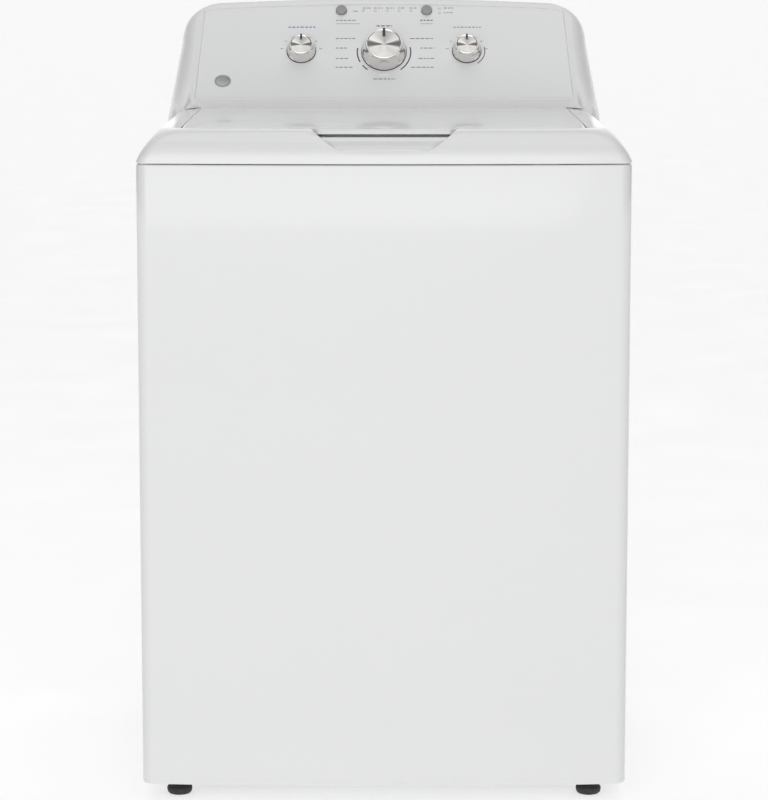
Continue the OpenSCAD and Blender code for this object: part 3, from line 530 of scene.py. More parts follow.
STRIKE_SLOT = block((242, -135, DECK_Z - 12), (255, -105, DECK_Z + 5))
DISPENSER_HOLE = block((-276, -268, DECK_Z - 12), (-204, -208, DECK_Z + 5))
HINGE_NOTCHES = [block((x - 3.5, 165, DECK_Z + 1.5), (x + 3.5, 200, CREST_Z + 5)) for x in (-288, 288)]


def top_cover():
    """The cover's skin, one closed run of loops: hem, nose, lid recess, deck, mouth and back underneath."""
    hem = 0.8
    rings = [outer_loop(hem, hem, hem, CORNER_R - hem, COVER_Z - hem, COVER_Z - hem),
             outer_loop(0, 0, 0, CORNER_R, COVER_Z, COVER_Z)]
    for theta in spread(0, math.pi / 2, 16):
        out, up = 1 - math.cos(theta), math.sin(theta)
        side = 1 - max(0.0, 1 - up ** HIP_POWER) ** (1 / HIP_POWER)
        z = mix(FOOT_Z, CREST_Z, up)
        rings.append(outer_loop(HIP_DEPTH * side, NOSE_DEPTH * out, 3 * out,
                                mix(CORNER_R, CREST_CORNER_R, out), z, z))
    for grow, drop in [(1.8, 0), (0.6, 0.5), (0, 1.8)]:
        rings.append(rect_loop(*RECESS, CREST_Z - drop, scoop_z=SCOOP_FLOOR_Z - drop, grow=grow))
    for z in (DECK_Z + 1.8, DECK_Z + 0.5, DECK_Z):
        rings.append(rect_loop(*RECESS, z, grow=-max(0, 1.8 - (z - DECK_Z)) * 0.9))
    funnel = DECK_Z - FUNNEL_Z
    for grow, drop in [(7, 0), (3.5, 0.9), (1, 3.2), (0, 7), (0, funnel - 1), (0.6, funnel), (2.4, funnel),
                       (3, funnel - 1), (3, 7), (6, 3.2)]:
        rings.append(rect_loop(*MOUTH, DECK_Z - drop, grow=grow))
    for inset, radius, z in [(50, 10, DECK_Z - 3), (14, 8, 915), (3, 15, COVER_Z + 2), (3, 15, COVER_Z)]:
        rings.append(outer_loop(inset, inset, inset, radius, z, min(z, SCOOP_FOOT_Z)))
    rings.append(rings[0])
    cover = add_piece("top_cover_moulding", loft(rings), "white_enamel", "cabinet",
                      ["top_cover", "handle_scoop"], sharp=42)
    cut(cover, [STRIKE_SLOT, DISPENSER_HOLE, *HINGE_NOTCHES])


# ---- lid ----

def crowned(y, inset):
    """Height of the lid's top face: it rises from the front edge, and dips a little at the sides."""
    return LID_TOP_Z - 3.2 + 3.2 * smooth((y - LID_FRONT_Y) / 110) - 1.2 * (1 - smooth(inset / 24))


LID_CORNER_R = 8.0
LID_EDGE_R = 3.0


def lid_loop(inset, z_of, lip=0.0, lip_z=None):
    """A loop of the lid, z_of(y) high. lip pushes the handle's columns forward, lip_z drops them."""
    front, radius = LID_FRONT_Y + inset, max(LID_CORNER_R - inset, 1.0)
    points = []
    for x, y, _ in rect_loop(LID_HALF_W - inset, front, LID_REAR_Y - inset, radius, 0.0):
        z = z_of(y)
        if lip and abs(y - front) < 0.01:
            share = 1 - smooth((abs(x) - (SCOOP_HEAD_X - SCOOP_WALL - 1)) / SCOOP_WALL)
            y = y - lip * share
            z = mix(z, lip_z, share) if lip_z else z
        points.append((x, y, z))
    return points


def lid_pan():
    """The lid's enamelled panel: a hem, a rounded edge and a crowned top, with the handle's lip."""
    reach = LID_FRONT_Y - LIP_Y
    hem = LID_BOTTOM_Z
    lip_foot = hem + 2
    rings = [lid_loop(3.0, lambda y: hem + 4), lid_loop(3.0, lambda y: hem + 0.6),
             lid_loop(2.2, lambda y: hem, reach * 0.5, lip_foot),
             lid_loop(0.8, lambda y: hem, reach * 0.8, lip_foot),
             lid_loop(0.0, lambda y: hem + 0.8, reach, lip_foot + 0.9)]
    for theta in spread(0, math.pi / 2, 6):
        inset, drop = LID_EDGE_R * (1 - math.cos(theta)), LID_EDGE_R * (1 - math.sin(theta))
        rings.append(lid_loop(inset, lambda y: crowned(y, inset) - drop, reach))
    for inset, lip in zip((6, 12, 24, 40, 60, 85, 115, 150, 190), (reach * 0.7, reach * 0.25, *[0] * 7)):
        rings.append(lid_loop(inset, lambda y: crowned(y, inset), lip))
    add_piece("lid_pan", loft(rings, cap_first=True, cap_last=True), "white_enamel", "lid", ["lid_panel"],
              sharp=42)


# ---- console ----

def fascia_plane_y(z):
    return FASCIA_Y + (z - FASCIA_Z) * math.tan(LEAN)


def on_fascia(x, s):
    """Axes at a point of the fascia, s up its slope: x runs across, y up the slope and z out of it."""
    point = Vector((x, FASCIA_Y + s * math.sin(LEAN), FASCIA_Z + s * math.cos(LEAN))) * MM
    return Matrix.Translation(point) @ Matrix.Rotation(math.pi / 2 - LEAN, 4, "X")


def hip_z(x):
    """Height of the top cover's side at x."""
    out = (x - (HALF_W - HIP_DEPTH)) / HIP_DEPTH
    up = max(0.0, 1 - max(0.0, out) ** HIP_POWER) ** (1 / HIP_POWER)
    return mix(FOOT_Z, CREST_Z, up)


CONSOLE_SINK = 1.0  # how deep the console's foot sits in the cover
CONSOLE_FOOT = (CONSOLE_FOOT_X + 2, CREST_Z - 14)
CONSOLE_TOP_RIM, CONSOLE_SIDE_RIM = 3.5, 7.0  # width of the white border round the fascia
PINCH = math.radians(65)  # where the fascia's side edge meets its top edge, round the console's corner
EAR_DEPTH, TOP_DEPTH = 66.0, 9.0  # how far back the rounding reaches, at the ears and at the top
FLARE, FLARE_TOP_Z = 62.0, 1010.0  # how far the ears' feet run forward, and where they start to
RECESS_DEPTH = 2.6


def console_loops():
    """The console seen from the front: loops of (x, z) for its silhouette and for the fascia's edge,
    each point's roundness, and the number of points before the base line."""
    corner_top = CONSOLE_TOP - CROWN
    inset = 9.0

    def arc(a, drop):
        return (CONSOLE_CORNER_X + (CONSOLE_SIDE_X - CONSOLE_CORNER_X) * math.cos(a),
                CONSOLE_CORNER_Z + (corner_top - drop - CONSOLE_CORNER_Z) * math.sin(a))

    head_z, fascia_head_z = arc(PINCH, 0)[1], arc(PINCH, inset)[1]
    side = [(mix(CONSOLE_FOOT[0], CONSOLE_SIDE_X, t), mix(CONSOLE_FOOT[1], CONSOLE_CORNER_Z, t))
            for t in (i ** 1.6 for i in spread(0, 1, 24)[:-1])]
    side += [arc(a, 0) for a in spread(0, PINCH, 20)]
    outer, rim, round_off = [], [], []
    for x, z in side:
        fascia_z = mix(FASCIA_Z, fascia_head_z, (z - CONSOLE_FOOT[1]) / (head_z - CONSOLE_FOOT[1]))
        outer.append((x, z))
        rim.append((mix(FASCIA_FOOT_X, FASCIA_HEAD_X, (fascia_z - FASCIA_Z) / 150), fascia_z))
        round_off.append(1 - smooth((z - CREST_Z - 100) / 52))
    top = [(arc(a, 0), arc(a, inset)) for a in spread(PINCH, math.pi / 2, 6)[1:]]
    for t in spread(0, 1, 16)[1:]:
        x = CONSOLE_CORNER_X * (1 - t)
        z = CONSOLE_TOP - CROWN * (x / CONSOLE_CORNER_X) ** 2
        top.append(((x, z), (x, z - inset)))
    outer += [point for point, _ in top]
    rim += [point for _, point in top]
    round_off += [0.0] * len(top)

    outer, rim = [half + [(-x, z) for x, z in half[-2::-1]] for half in (outer, rim)]
    round_off += round_off[-2::-1]
    base_from = len(outer)
    for t in [-0.992, -0.97, *spread(-0.94, 0.94, 36), 0.97, 0.992]:
        outer.append((t * CONSOLE_FOOT[0], CREST_Z - CONSOLE_SINK))
        rim.append((t * FASCIA_FOOT_X, FASCIA_Z))
        round_off.append(1.0)
    return outer, rim, round_off, base_from


def pushed_out(loop, distance):
    """A closed loop of (x, z) moved outwards; distance is one number for each point."""
    count = len(loop)
    moved_loop = []
    for i, (x, z) in enumerate(loop):
        along = Vector(loop[(i + 1) % count]) - Vector(loop[i - 1])
        out = Vector((along.y, -along.x)).normalized()
        moved_loop.append((x + out.x * distance[i], z + out.y * distance[i]))
    return moved_loop


def console_shell():
    """The console's moulding: a skin from the rear edge over the rounded ears to the recess of the fascia."""
    outer, rim, round_off, base_from = console_loops()
    count = len(outer)
    rims = [mix(CONSOLE_TOP_RIM, CONSOLE_SIDE_RIM, smooth(3 * r)) for r in round_off]
    border = pushed_out(rim, rims)

    def skin(theta):
        """One ring of the outer skin, from the silhouette at theta 0 to the fascia's border at 90 degrees."""
        reach, turn = 1 - math.cos(theta), math.sin(theta)
        late = smooth((reach - 0.7) / 0.3)
        ring = []
        for i in range(count):
            (x, z), (rim_x, rim_z), r = outer[i], border[i], round_off[i]
            px = mix(x, rim_x, reach)
            lift = smooth((z - CONSOLE_FOOT[1]) / 46) if i < base_from else 0.0
            foot_z = hip_z(abs(px)) - CONSOLE_SINK
            low_z = z if i < base_from and lift > 0 else foot_z
            pz = max(mix(low_z, rim_z, mix(late, reach, lift)), foot_z)
            depth = min(mix(TOP_DEPTH, EAR_DEPTH, r), HALF_D - 2 - fascia_plane_y(pz))
            near = min(1.0, max(0.0, (FLARE_TOP_Z - pz) / (FLARE_TOP_Z - CREST_Z)))
            ear = smooth((abs(px) - 290) / 14)
            flare = FLARE * (1 - math.sqrt(1 - near * near)) * ear * turn * (1 - reach * reach)
            ring.append((px, fascia_plane_y(pz) + depth * (1 - turn) - flare, pz))
        return ring

    def on_plane(loop, height):
        """A ring parallel to the fascia's plane, so far in front of it."""
        back, up = height * math.cos(LEAN), height * math.sin(LEAN)
        return [(x, fascia_plane_y(z) - back, z + up) for x, z in loop]

    rear = pushed_out(outer, [-1.5] * count)
    rings = [[(x, HALF_D, max(z, hip_z(abs(x)) - CONSOLE_SINK)) for x, z in rear],
             [(x, HALF_D - 1.5, z) for x, z in outer]]
    rings += [skin(theta) for theta in spread(0, math.pi / 2, 18)]
    for share, height in [(0.62, 0.9), (0.4, 1.25), (0.22, 1.1), (0.1, 0.5), (0.04, 0.0)]:
        rings.append(on_plane(pushed_out(rim, [share * r for r in rims]), height))
    rings.append(on_plane(rim, -0.32))
    rings.append(on_plane(pushed_out(rim, [-1.5] * count), -0.7))
    rings.append(on_plane(pushed_out(rim, [-2.0] * count), -RECESS_DEPTH))
    add_piece("console_moulding", loft(rings, cap_last=True), "white_plastic", "cabinet", ["console_shell"],
              solid=2.0, sharp=50)


# ---- knobs, buttons, lamps, badge and print on the fascia ----

def knob(body, nodes, x, s, radius, height, pointer):
    """A spun metal knob: tapered skirt, ring, dished face with a black pointer, and painted shade under it: a
    black ring at its foot where the shadow of the gap falls.
    pointer is its half width and the radii of its ends."""
    at = on_fascia(x, s)
    face = 0.79 * radius

    def layer(part, profile, finish, stands_for=()):
        add_piece(f"{body}_{part}", turned(profile, 128), finish, body, stands_for, at=at, sharp=28)

    skirt = [(radius * 0.2, 1.0)]
    skirt += shifted([(-1.2, 1.0), (-0.3, 1.3), (0, 2.0), (-0.1, 3.0), (-1.0, 4.0)], radius)
    skirt += [(mix(radius - 1.2, face + 1.6, t) - 0.9 * math.sin(math.pi * t), mix(4.4, height - 3.4, t))
              for t in spread(0, 1, 8)]
    skirt += shifted([(1.0, -2.6), (0.75, -2.3), (0.7, -1.3), (-1.5, -1.2)], face, height)
    layer("skirt", skirt, "knob_rim", nodes[:1])
    layer("bezel", shifted([(-1.6, -1.6), (0.1, -1.25), (0.35, -0.9), (0.2, -0.25), (-0.3, 0), (-1.1, -0.05),
                            (-1.8, -0.7), (-2.3, -0.9)], face, height), "knob_rim")
    dish = 0.06 * radius
    layer("face", [((face - 2.2) * r, height - 0.9 - dish * (1 - r)) for r in spread(1, 0, 24)], "knob_metal",
          nodes[1:])
    half_width, inner, outer = pointer
    add_piece(body + "_pointer", block((-half_width, inner, height - 2.4), (half_width, outer, height + 0.5)),
              "black_plastic", body, at=at, bevel=0.3)
    # Painted shadow: a thin black ring round the knob's foot, put where the gap under the skirt is in shade.
    foot_shadow_ring = shifted([(-4, 0.0), (0.5, 0.0), (0.7, 0.35), (0.2, 0.75), (-4, 0.75)], radius)
    add_piece(body + "_seat", turned(foot_shadow_ring, 128, closed=True), "black_plastic", "cabinet", at=at)


def push_button(name, node, x):
    """A round button with a dished face, and the ring round it."""
    at = on_fascia(x, BUTTON_S)
    low, high = box(node)
    r = (high.x - low.x) / 2
    profile = [(0, -4.5), (r, -4.5), (r, 3.2), (r - 0.15, 3.8), (r - 0.6, 4.2), (r - 1.2, 4.35)]
    profile += [((r - 1.2) * t, 4.35 - 0.55 * (1 - t * t)) for t in spread(0.92, 0, 10)]
    add_piece(name, turned(profile, 64), "grey_plastic", node, [node], at=at)
    ring = shifted([(0.3, -0.3), (1.0, -0.3), (0.95, 0.25), (0.6, 0.4), (0.35, 0.2)], r)
    add_piece(name + "_surround", turned(ring, 64, closed=True), "fascia_grey", "cabinet", at=at)


def printed(outline):
    """A flat mark on the fascia, which lies 0.3 mm under the plane that places are measured on."""
    return prism(outline, -0.35, -0.12)


def bar(x0, x1, s, height):
    """A printed bar with rounded ends."""
    r = height / 2
    return printed([(x + r * math.cos(a + start), s + r * math.sin(a + start))
                    for x, start in ((x1 - r, -math.pi / 2), (x0 + r, math.pi / 2))
                    for a in spread(0, math.pi, 5)])


def greeked(x0, x1, s, seed, height=1.6):
    """A printed label with its words as plain dashes."""
    chance = random.Random(seed)
    marks, x = [], x0
    while x < x1 - 2.0:
        length = min(chance.uniform(3.0, 7.5), x1 - x)
        marks.append(bar(x, x + length, s, height))
        x += length + 1.4
    return marks


def arc_mark(x, s, radius, start, end, width):
    """A printed arc about a knob; angles in degrees, anticlockwise from the right."""
    angles = [math.radians(a) for a in spread(start, end, 24)]
    return printed([(x + r * math.cos(a), s + r * math.sin(a))
                    for r, run in ((radius + width / 2, angles), (radius - width / 2, angles[::-1]))
                    for a in run])


def fascia_print():
    """Rows of dashes where words would be, arcs beside the knobs, and a pale oval."""
    marks = []
    column = 76.0  # where the columns of labels start, left and right of the middle
    for row, (s, left, right) in enumerate([(110.5, 31, 38), (92.5, 18, 22), (73, 22, 25), (56.5, 27, 37)]):
        marks += greeked(-column, -column + left, s, seed=10 + row)
        marks += greeked(column + 3 - right, column + 3, s, seed=20 + row)
    marks += greeked(-column, -column + 32, 145, seed=3) + [bar(-column, -column + 38, 138.5, 0.7)]
    marks += greeked(57, 79, 145, height=2.6, seed=4) + [bar(57, 77, 138.5, 0.7)]
    marks += greeked(-12, 13, 134.5, height=2.4, seed=5) + greeked(-17, 18, 34.5, seed=6)
    marks += greeked(109, 153, 132, seed=7)
    for i, s in enumerate((168.5, 159.5)):
        marks += greeked(94.5, 112, s, height=1.5, seed=30 + i)
    for i, x in enumerate((-27, -9, 10, 29, 47)):
        marks += greeked(x - 7, x + 7, 168.5, height=1.4, seed=40 + i)
    marks.append(bar(-49, -41, 162.5, 1.4))
    for side in (-1, 1):
        for angle in (8, 40, 65, 115, 140, 172):
            a = math.radians(angle)
            x, s = side * SMALL_X + 28.5 * math.cos(a), SMALL_S + 28.5 * math.sin(a)
            out = 2.4 * math.cos(a)
            marks += greeked(x - 2.6 + out, x + 2.6 + out, s, seed=50 + angle, height=1.0)
    dark = [arc_mark(0, KNOB_S, 42, start, end, 1.9) for start, end in ((170, 207), (217, 232), (-52, 12))]
    dark.append(arc_mark(SMALL_X, SMALL_S, 28.5, -55, 15, 1.3))
    oval = prism([(8.5 * math.cos(a), 42.5 + 2.4 * math.sin(a)) for a in whole_turn(32)], -0.35, -0.1)
    blue = greeked(-151, -108, 132, height=2.6, seed=60)
    for ink, shapes in (("grey", marks), ("dark", dark), ("blue", blue), ("white", [oval])):
        add_piece("fascia_print_" + ink, joined(shapes), "print_" + ink, "cabinet", at=on_fascia(0, 0))


def badge():
    """A plain oval badge with a raised rim."""
    profile = [(0, -0.3), (1.0, -0.3), (1.0, 0.5), (0.97, 0.9), (0.9, 1.05), (0.83, 0.9), (0.8, 0.6),
               (0.74, 0.5), (0, 0.62)]
    verts, faces = turned(profile, 96)
    add_piece("badge", ([(x * 12.5, y * 11.0, z) for x, y, z in verts], faces), "badge_metal", "cabinet",
              ["console_badge"], at=on_fascia(-252, 31), sharp=30)


def lamps():
    """The lenses of a row of five lamps and of two more beside the start button."""
    profile = [(0, -9), (2.45, -9), (2.45, 0.0), (2.2, 0.35), (1.6, 0.55), (0, 0.62)]
    places = [(i * 19 + 5, 1) for i in range(-2, 3)] + [(BUTTON_X + 20, 1 + s) for s in (-4, 4)]
    lenses = [moved(turned(profile, 24), by=(x, BUTTON_S + up, 0)) for x, up in places]
    add_piece("indicator_lamps", joined(lenses), "lamp_lens", "cabinet", ["indicator_lenses"],
              at=on_fascia(0, 0))


# ---- lid's liner ----

def lid_liner():
    """A moulded liner with a raised bead, a sunk field, the lock strike and two hinge blocks."""
    low, high = box("lid_liner")
    half_w, y0, y1 = high.x - 0.3, low.y + 0.3, high.y - 0.3
    under = LID_BOTTOM_Z - 4
    steps = [(0, LID_BOTTOM_Z + 1.5)]
    steps += shifted([(0, 1.6), (0.6, 0.4), (2.0, 0), (10, 0), (12.5, 0.6), (15, 2.4), (19, 2.8), (24, 2.4),
                      (27, 0.6), (31, -0.6), (38, -1.1), (60, -1.4), (110, -1.6), (170, -1.7)], up=under)
    rings = [rect_loop(half_w - inset, y0 + inset, y1 - inset, max(14 - inset * 0.2, 6.0), z)
             for inset, z in steps]
    add_piece("lid_liner_panel", loft(rings, cap_first=True, cap_last=True), "white_plastic", "lid",
              ["lid_liner"], sharp=40)
    x, y, foot = 249.0, -120.0, DECK_Z - 21
    root = LID_BOTTOM_Z - 3 - foot
    outline = shifted([(-9, root), (-9, 5), (-7, 1), (-4, 0), (4, 0), (7, 1), (9, 5), (9, root)], y, foot)
    window = shifted([(-5.5, 13), (-5.5, 3), (-4, 3), (0, 3), (2, 3), (4, 3), (5.5, 3), (5.5, 13)], y, foot)
    rings = [[(x + side, v, z) for v, z in loop] for side, loop in
             ((-2.5, window), (-2.5, outline), (1.5, outline), (1.5, window), (-2.5, window))]
    strike = add_piece("lid_strike", loft(rings), "white_plastic", "lid", sharp=30)
    strike.modifiers.new("edges", "BEVEL").width = 0.5 * MM
    for i, side in enumerate((-1, 1)):
        middle = side * (LID_HALF_W - 17)
        add_piece(f"hinge_block_{i}", block((middle - 12, HINGE_Y - 16, LID_BOTTOM_Z - 2.1),
                                            (middle + 12, HINGE_Y + 2, LID_BOTTOM_Z + 6.9)),
                  "white_plastic", "lid", bevel=1.5)


# ---- basket and agitator ----

TUB_Y = JOINTS["basket_spin"]["pos_m"][1] / MM


def on_tub_axis(shape):
    return moved(shape, by=(0, TUB_Y, 0))


def perforated(radius, z0, z1, columns, rows, hole):
    """A cylinder's wall cut into cells, with an eight-sided hole in each."""
    pitch, rise = 2 * math.pi / columns, (z1 - z0) / rows
    corners = [(1, 0), (1, 1), (0, 1), (-1, 1), (-1, 0), (-1, -1), (0, -1), (1, -1)]
    verts, faces = [], []
    for column in range(columns):
        for row in range(rows):
            middle, base = (column + 0.5) * pitch, len(verts)
            z = z0 + (row + 0.5) * rise
            for (u, v), a in zip(corners, whole_turn(8)):
                for across, up in [(u * pitch / 2, v * rise / 2),
                                   (hole / radius * math.cos(a), hole * math.sin(a))]:
                    turn = middle + across
                    verts.append((radius * math.cos(turn), radius * math.sin(turn), z + up))
            for i in range(8):
                k = (i + 1) % 8
                faces.append((base + 2 * i, base + 2 * k, base + 2 * k + 1, base + 2 * i + 1))
    return verts, faces


def basket():
    """The perforated basket and the balance ring on its rim."""
    low, high = box("wash_basket")
    foot, top, r = low.z, high.z, high.x
    columns, band = 72, (foot + 42, top - 50)
    floor_profile = shifted([(33, 1.2), (60, 0.6), (120, 0.6), (190, 1.2), (224, 2.5), (238, 5.5), (248, 12),
                             (254.5, 21), (r, 33), (r, band[0] - foot)], up=foot)
    rim = [(r, band[1]), (r, top - 40), (r - 0.4, top - 37), (r - 0.4, top - 3), (r - 0.2, top)]
    shell = joined([turned(floor_profile, 2 * columns), perforated(r, *band, columns, 18, 3.3),
                    turned(rim, 2 * columns)])
    add_piece("basket_shell", on_tub_axis(shell), "basket_steel", "basket", ["wash_basket"], solid=1.2,
              sharp=40)
    low, high = box("balance_ring")
    ring = shifted([(-4.7, 0.6), (-4.6, 43.6), (-3, 44.2), (-0.5, 44.4), (0, 45.4), (-0.5, 47.4), (-2.5, 48),
                    (-14, 48), (-15, 47.2), (-17, 47.2), (-18, 48)], high.x, low.z)
    ring += shifted([(230, 48), (226, 46.8), (223.2, 43), (222, 38), (222, 14), (223.4, 7), (227, 2),
                     (232, 0.2)], up=low.z)
    add_piece("balance_ring_moulding", on_tub_axis(turned(ring, 180, closed=True)), "white_plastic", "basket",
              ["balance_ring"], sharp=40)


def agitator():
    """The skirt with four vanes, the auger with two flights, and the softener cup on top."""
    foot = box("agitator_base")[0].z
    skirt = shifted([(34, 1), (60, 0.4), (147, 0.3), (149.4, 1.4), (150, 3.5), (148.6, 5.8), (144, 7.4),
                     (122, 12.5), (102, 19.5), (84, 31), (70, 46), (60.5, 64), (55, 86), (51.4, 112),
                     (48.6, 150), (46.6, 200), (46, 219), (45, 221.6), (43, 222), (30, 222)], up=foot)
    add_piece("agitator_skirt", on_tub_axis(turned(skirt, 144)), "white_plastic", "agitator",
              ["agitator_base"], sharp=40)
    edge = shifted([(144, 3), (147, 16), (142, 34), (126, 56), (107, 84), (92, 116), (79, 152), (67, 186),
                    (55, 208), (42, 213)], up=foot)
    rings = []
    for point in curve_through([(x, 0, z) for x, z in edge], 4):
        section = [(mix(24, point.x, share), half)
                   for share, half in [(0, 4.2), (0.5, 3.4), (0.86, 2.6), (0.96, 2.0), (1, 0.7)]]
        rings.append([(x, half, point.z) for x, half in section]
                     + [(x, -half, point.z) for x, half in section[::-1]])
    for number in range(4):
        vane = moved(loft(rings, cap_first=True, cap_last=True), turn=number * math.pi / 2)
        add_piece(f"agitator_vane_{number}", on_tub_axis(vane), "white_plastic", "agitator", sharp=50)
    low, high = box("agitator_auger")
    column = [(38, low.z), (41.4, low.z), (42, low.z + 0.8), (42, high.z - 0.8), (41.4, high.z), (38, high.z)]
    add_piece("auger_column", on_tub_axis(turned(column, 96, closed=True)), "white_plastic", "agitator",
              ["agitator_auger"], sharp=40)
    tip, rise, sweep = 66.0, 180.0, math.radians(-300)  # a flight's radius, its height and how far it winds
    for start in range(2):
        rings = []
        for t in spread(0, 1, 90):
            a, z = start * math.pi + sweep * t, low.z + 4 + (rise - 8) * t
            grow = smooth(t * 9) * smooth((1 - t) * 9)
            out = mix(43, tip, grow)
            section = [(39, -5.5), (48, -3.4), (out - 4, -2.3), (out - 1.2, -1.7), (out, 0), (out - 1.2, 1.7),
                       (out - 4, 2.3), (48, 3.4), (39, 5.5)]
            section = [(min(r, out), z + up) for r, up in section]
            rings.append([(r * math.cos(a), r * math.sin(a), at_z) for r, at_z in section])
        add_piece(f"auger_flight_{start}", on_tub_axis(loft(rings, cap_first=True, cap_last=True)),
                  "white_plastic", "agitator", sharp=50)
    z = box("agitator_cap")[1].z - 30
    cap = shifted([(33, -17), (33, 27.5), (33.6, 29.4), (35, 30), (36.4, 29.2), (39.6, 22.5), (42.6, 16.5),
                   (43.8, 12.5), (44, 1.2), (43.2, 0.2), (36.6, 0), (36.6, -17)], up=z)
    add_piece("softener_cup", on_tub_axis(turned(cap, 128, closed=True)), "grey_plastic", "agitator",
              ["agitator_cap"], sharp=40)
    grips = [moved(block((43.2, -2.4, z + 2.5), (44.9, 2.4, z + 11.5)), turn=a) for a in whole_turn(16)]
    add_piece("softener_cup_grips", on_tub_axis(joined(grips)), "grey_plastic", "agitator", bevel=0.6)


# ---- springs and hoses ----

EVERY_CORNER = [(sx, sy) for sx in (-1, 1) for sy in (-1, 1)]


def springs():
    """Four coil springs, one at each corner round the tub."""
    low, high = box("suspension_springs")
    wire, r, turns, steps = 2.6, 20.0, 6, 28
    reach_x, reach_y = high.x - r - wire, high.y - r - wire - TUB_Y
    for number, (sx, sy) in enumerate(EVERY_CORNER):
        x, y = sx * reach_x, TUB_Y + sy * reach_y
        path = []
        for i in range(turns * steps + 1):
            share, a = i / (turns * steps), 2 * math.pi * i / steps
            z = mix(low.z + wire, high.z - wire, smooth(share) * 0.12 + share * 0.88)
            path.append((x + r * math.cos(a), y + r * math.sin(a), z))
        spring = add_piece(f"suspension_spring_{number}", tube(path, wire, 10), "machined_steel", "cabinet",
                           ["suspension_springs"] if number == 0 else (), sharp=60)
        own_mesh(spring)


# The hoses' middle lines. The drain hose starts on the tub's pump and ends on the rear panel.
DRAIN_ROUTE = [(-248, -90, 240), (-254, -90, 240), (-268, -84, 238), (-286, -56, 236), (-301, -10, 238),
               (-311, 45, 246), (-314, 100, 266), (-314, 138, 300), (-314, 152, 350), (-314, 156, 430),
               (-314, 158, 540), (-314, 160, 650), (-314, 166, 722), (-312, 186, 764), (-306, 216, 790),
               (-298, 252, 802), (-289, 284, 805), (-282, 304, 805), (-280, 315, 805)]
FILL_ROUTE = [(-135, 296, 964), (-135, 296, 956), (-134, 291, 944), (-130, 278, 932), (-124, 262, 921),
              (-117, 248, 914), (-110, 238, 911)]


def even_path(points, spacing):
    """A smooth curve through points, resampled at even spacing."""
    fine = curve_through(points, 24)
    path, carried = [fine[0]], 0.0
    for a, b in zip(fine, fine[1:]):
        span = (b - a).length
        while carried + span >= spacing:
            share = (spacing - carried) / span
            a = a.lerp(b, share)
            span *= 1 - share
            path.append(a)
            carried = 0.0
        carried += span
    return path + [fine[-1]]


def hoses():
    """The ribbed drain hose with a smooth cuff at each end, and the short fill hose."""
    path = even_path(DRAIN_ROUTE, 2.0)
    cuff = 14

    def ribbed(i):
        return 12.6 if i < cuff or i > len(path) - cuff else 12.4 - 1.1 * math.cos(2 * math.pi * i / 4)

    drain = add_piece("drain_hose_ribbed", tube(path, ribbed, 20), "grey_rubber", "cabinet", ["drain_hose"],
                      sharp=60, ride=False)
    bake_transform(drain)
    add_piece("fill_hose_tube", tube(even_path(FILL_ROUTE, 3.0), 9, 24), "grey_rubber", "cabinet",
              ["fill_hose"], sharp=60)


# ---- rear of the machine ----

FIELD_HALF_W = 275.0


def mount_place(name):
    """Where a mount is on the rear of the machine, as (x, z)."""
    x, _, z = MOUNTS[name]
    return x, z


def facing_back(profile, x, z, steps):
    """A shape turned about a line along y through x and z, from (radius, y) points; a closed profile."""
    verts, faces = turned(profile, steps, closed=True)
    return [(x + px, py, z + pz) for px, pz, py in verts], faces


def pressed(x, z):
    """How far the rear panel is pressed out at x, z: two fields, each with three long beads."""
    out = 0.0
    for z0, z1 in ((120, 470), (510, 760)):
        inside = min(FIELD_HALF_W - abs(x), z - z0, z1 - z)
        out = max(out, 4.5 * smooth(inside / 12))
        for bead in (-1, 0, 1):
            middle = (z0 + z1) / 2 + bead * (z1 - z0) * 0.27
            reach = min(9 - abs(z - middle), 220 - abs(x))
            out = max(out, 4.5 + 4.0 * smooth(reach / 9)) if reach > 0 else out
    return out


def rear_panel():
    """The pressed steel panel as a front and a back grid joined at the edges, with its two holes."""
    low, high = box("rear_panel")
    xs = sorted(set(spread(low.x, high.x, 84)
                    + [s * (FIELD_HALF_W - d) for s in (-1, 1) for d in (0, 4, 8, 12)]))
    zs = spread(low.z, high.z, 200)
    nx, nz = len(xs), len(zs)
    other = nx * nz
    verts = [(x, high.y + pressed(x, z) - back, z) for back in (0, SHEET) for z in zs for x in xs]
    faces = [(a, a + 1, a + nx + 1, a + nx) for base in (0, other) for j in range(nz - 1)
             for a in range(base + j * nx, base + j * nx + nx - 1)]
    edge = [*range(nx), *range(2 * nx - 1, other, nx), *range(other - 2, other - nx - 1, -1),
            *range(other - 2 * nx, 0, -nx)]
    faces += [(a, b, b + other, a + other) for a, b in zip(edge, edge[1:] + edge[:1])]
    panel = add_piece("rear_panel_pressed", (verts, faces), "galvanised", "cabinet", ["rear_panel"], sharp=40)
    holes = [facing_back(shifted([(0, -20), (r, -20), (r, 20), (0, 20)], up=high.y), *mount_place(mount), 48)
             for mount, r in (("drain_outlet", 21), ("cord_entry", 9.2))]
    cut(panel, holes)


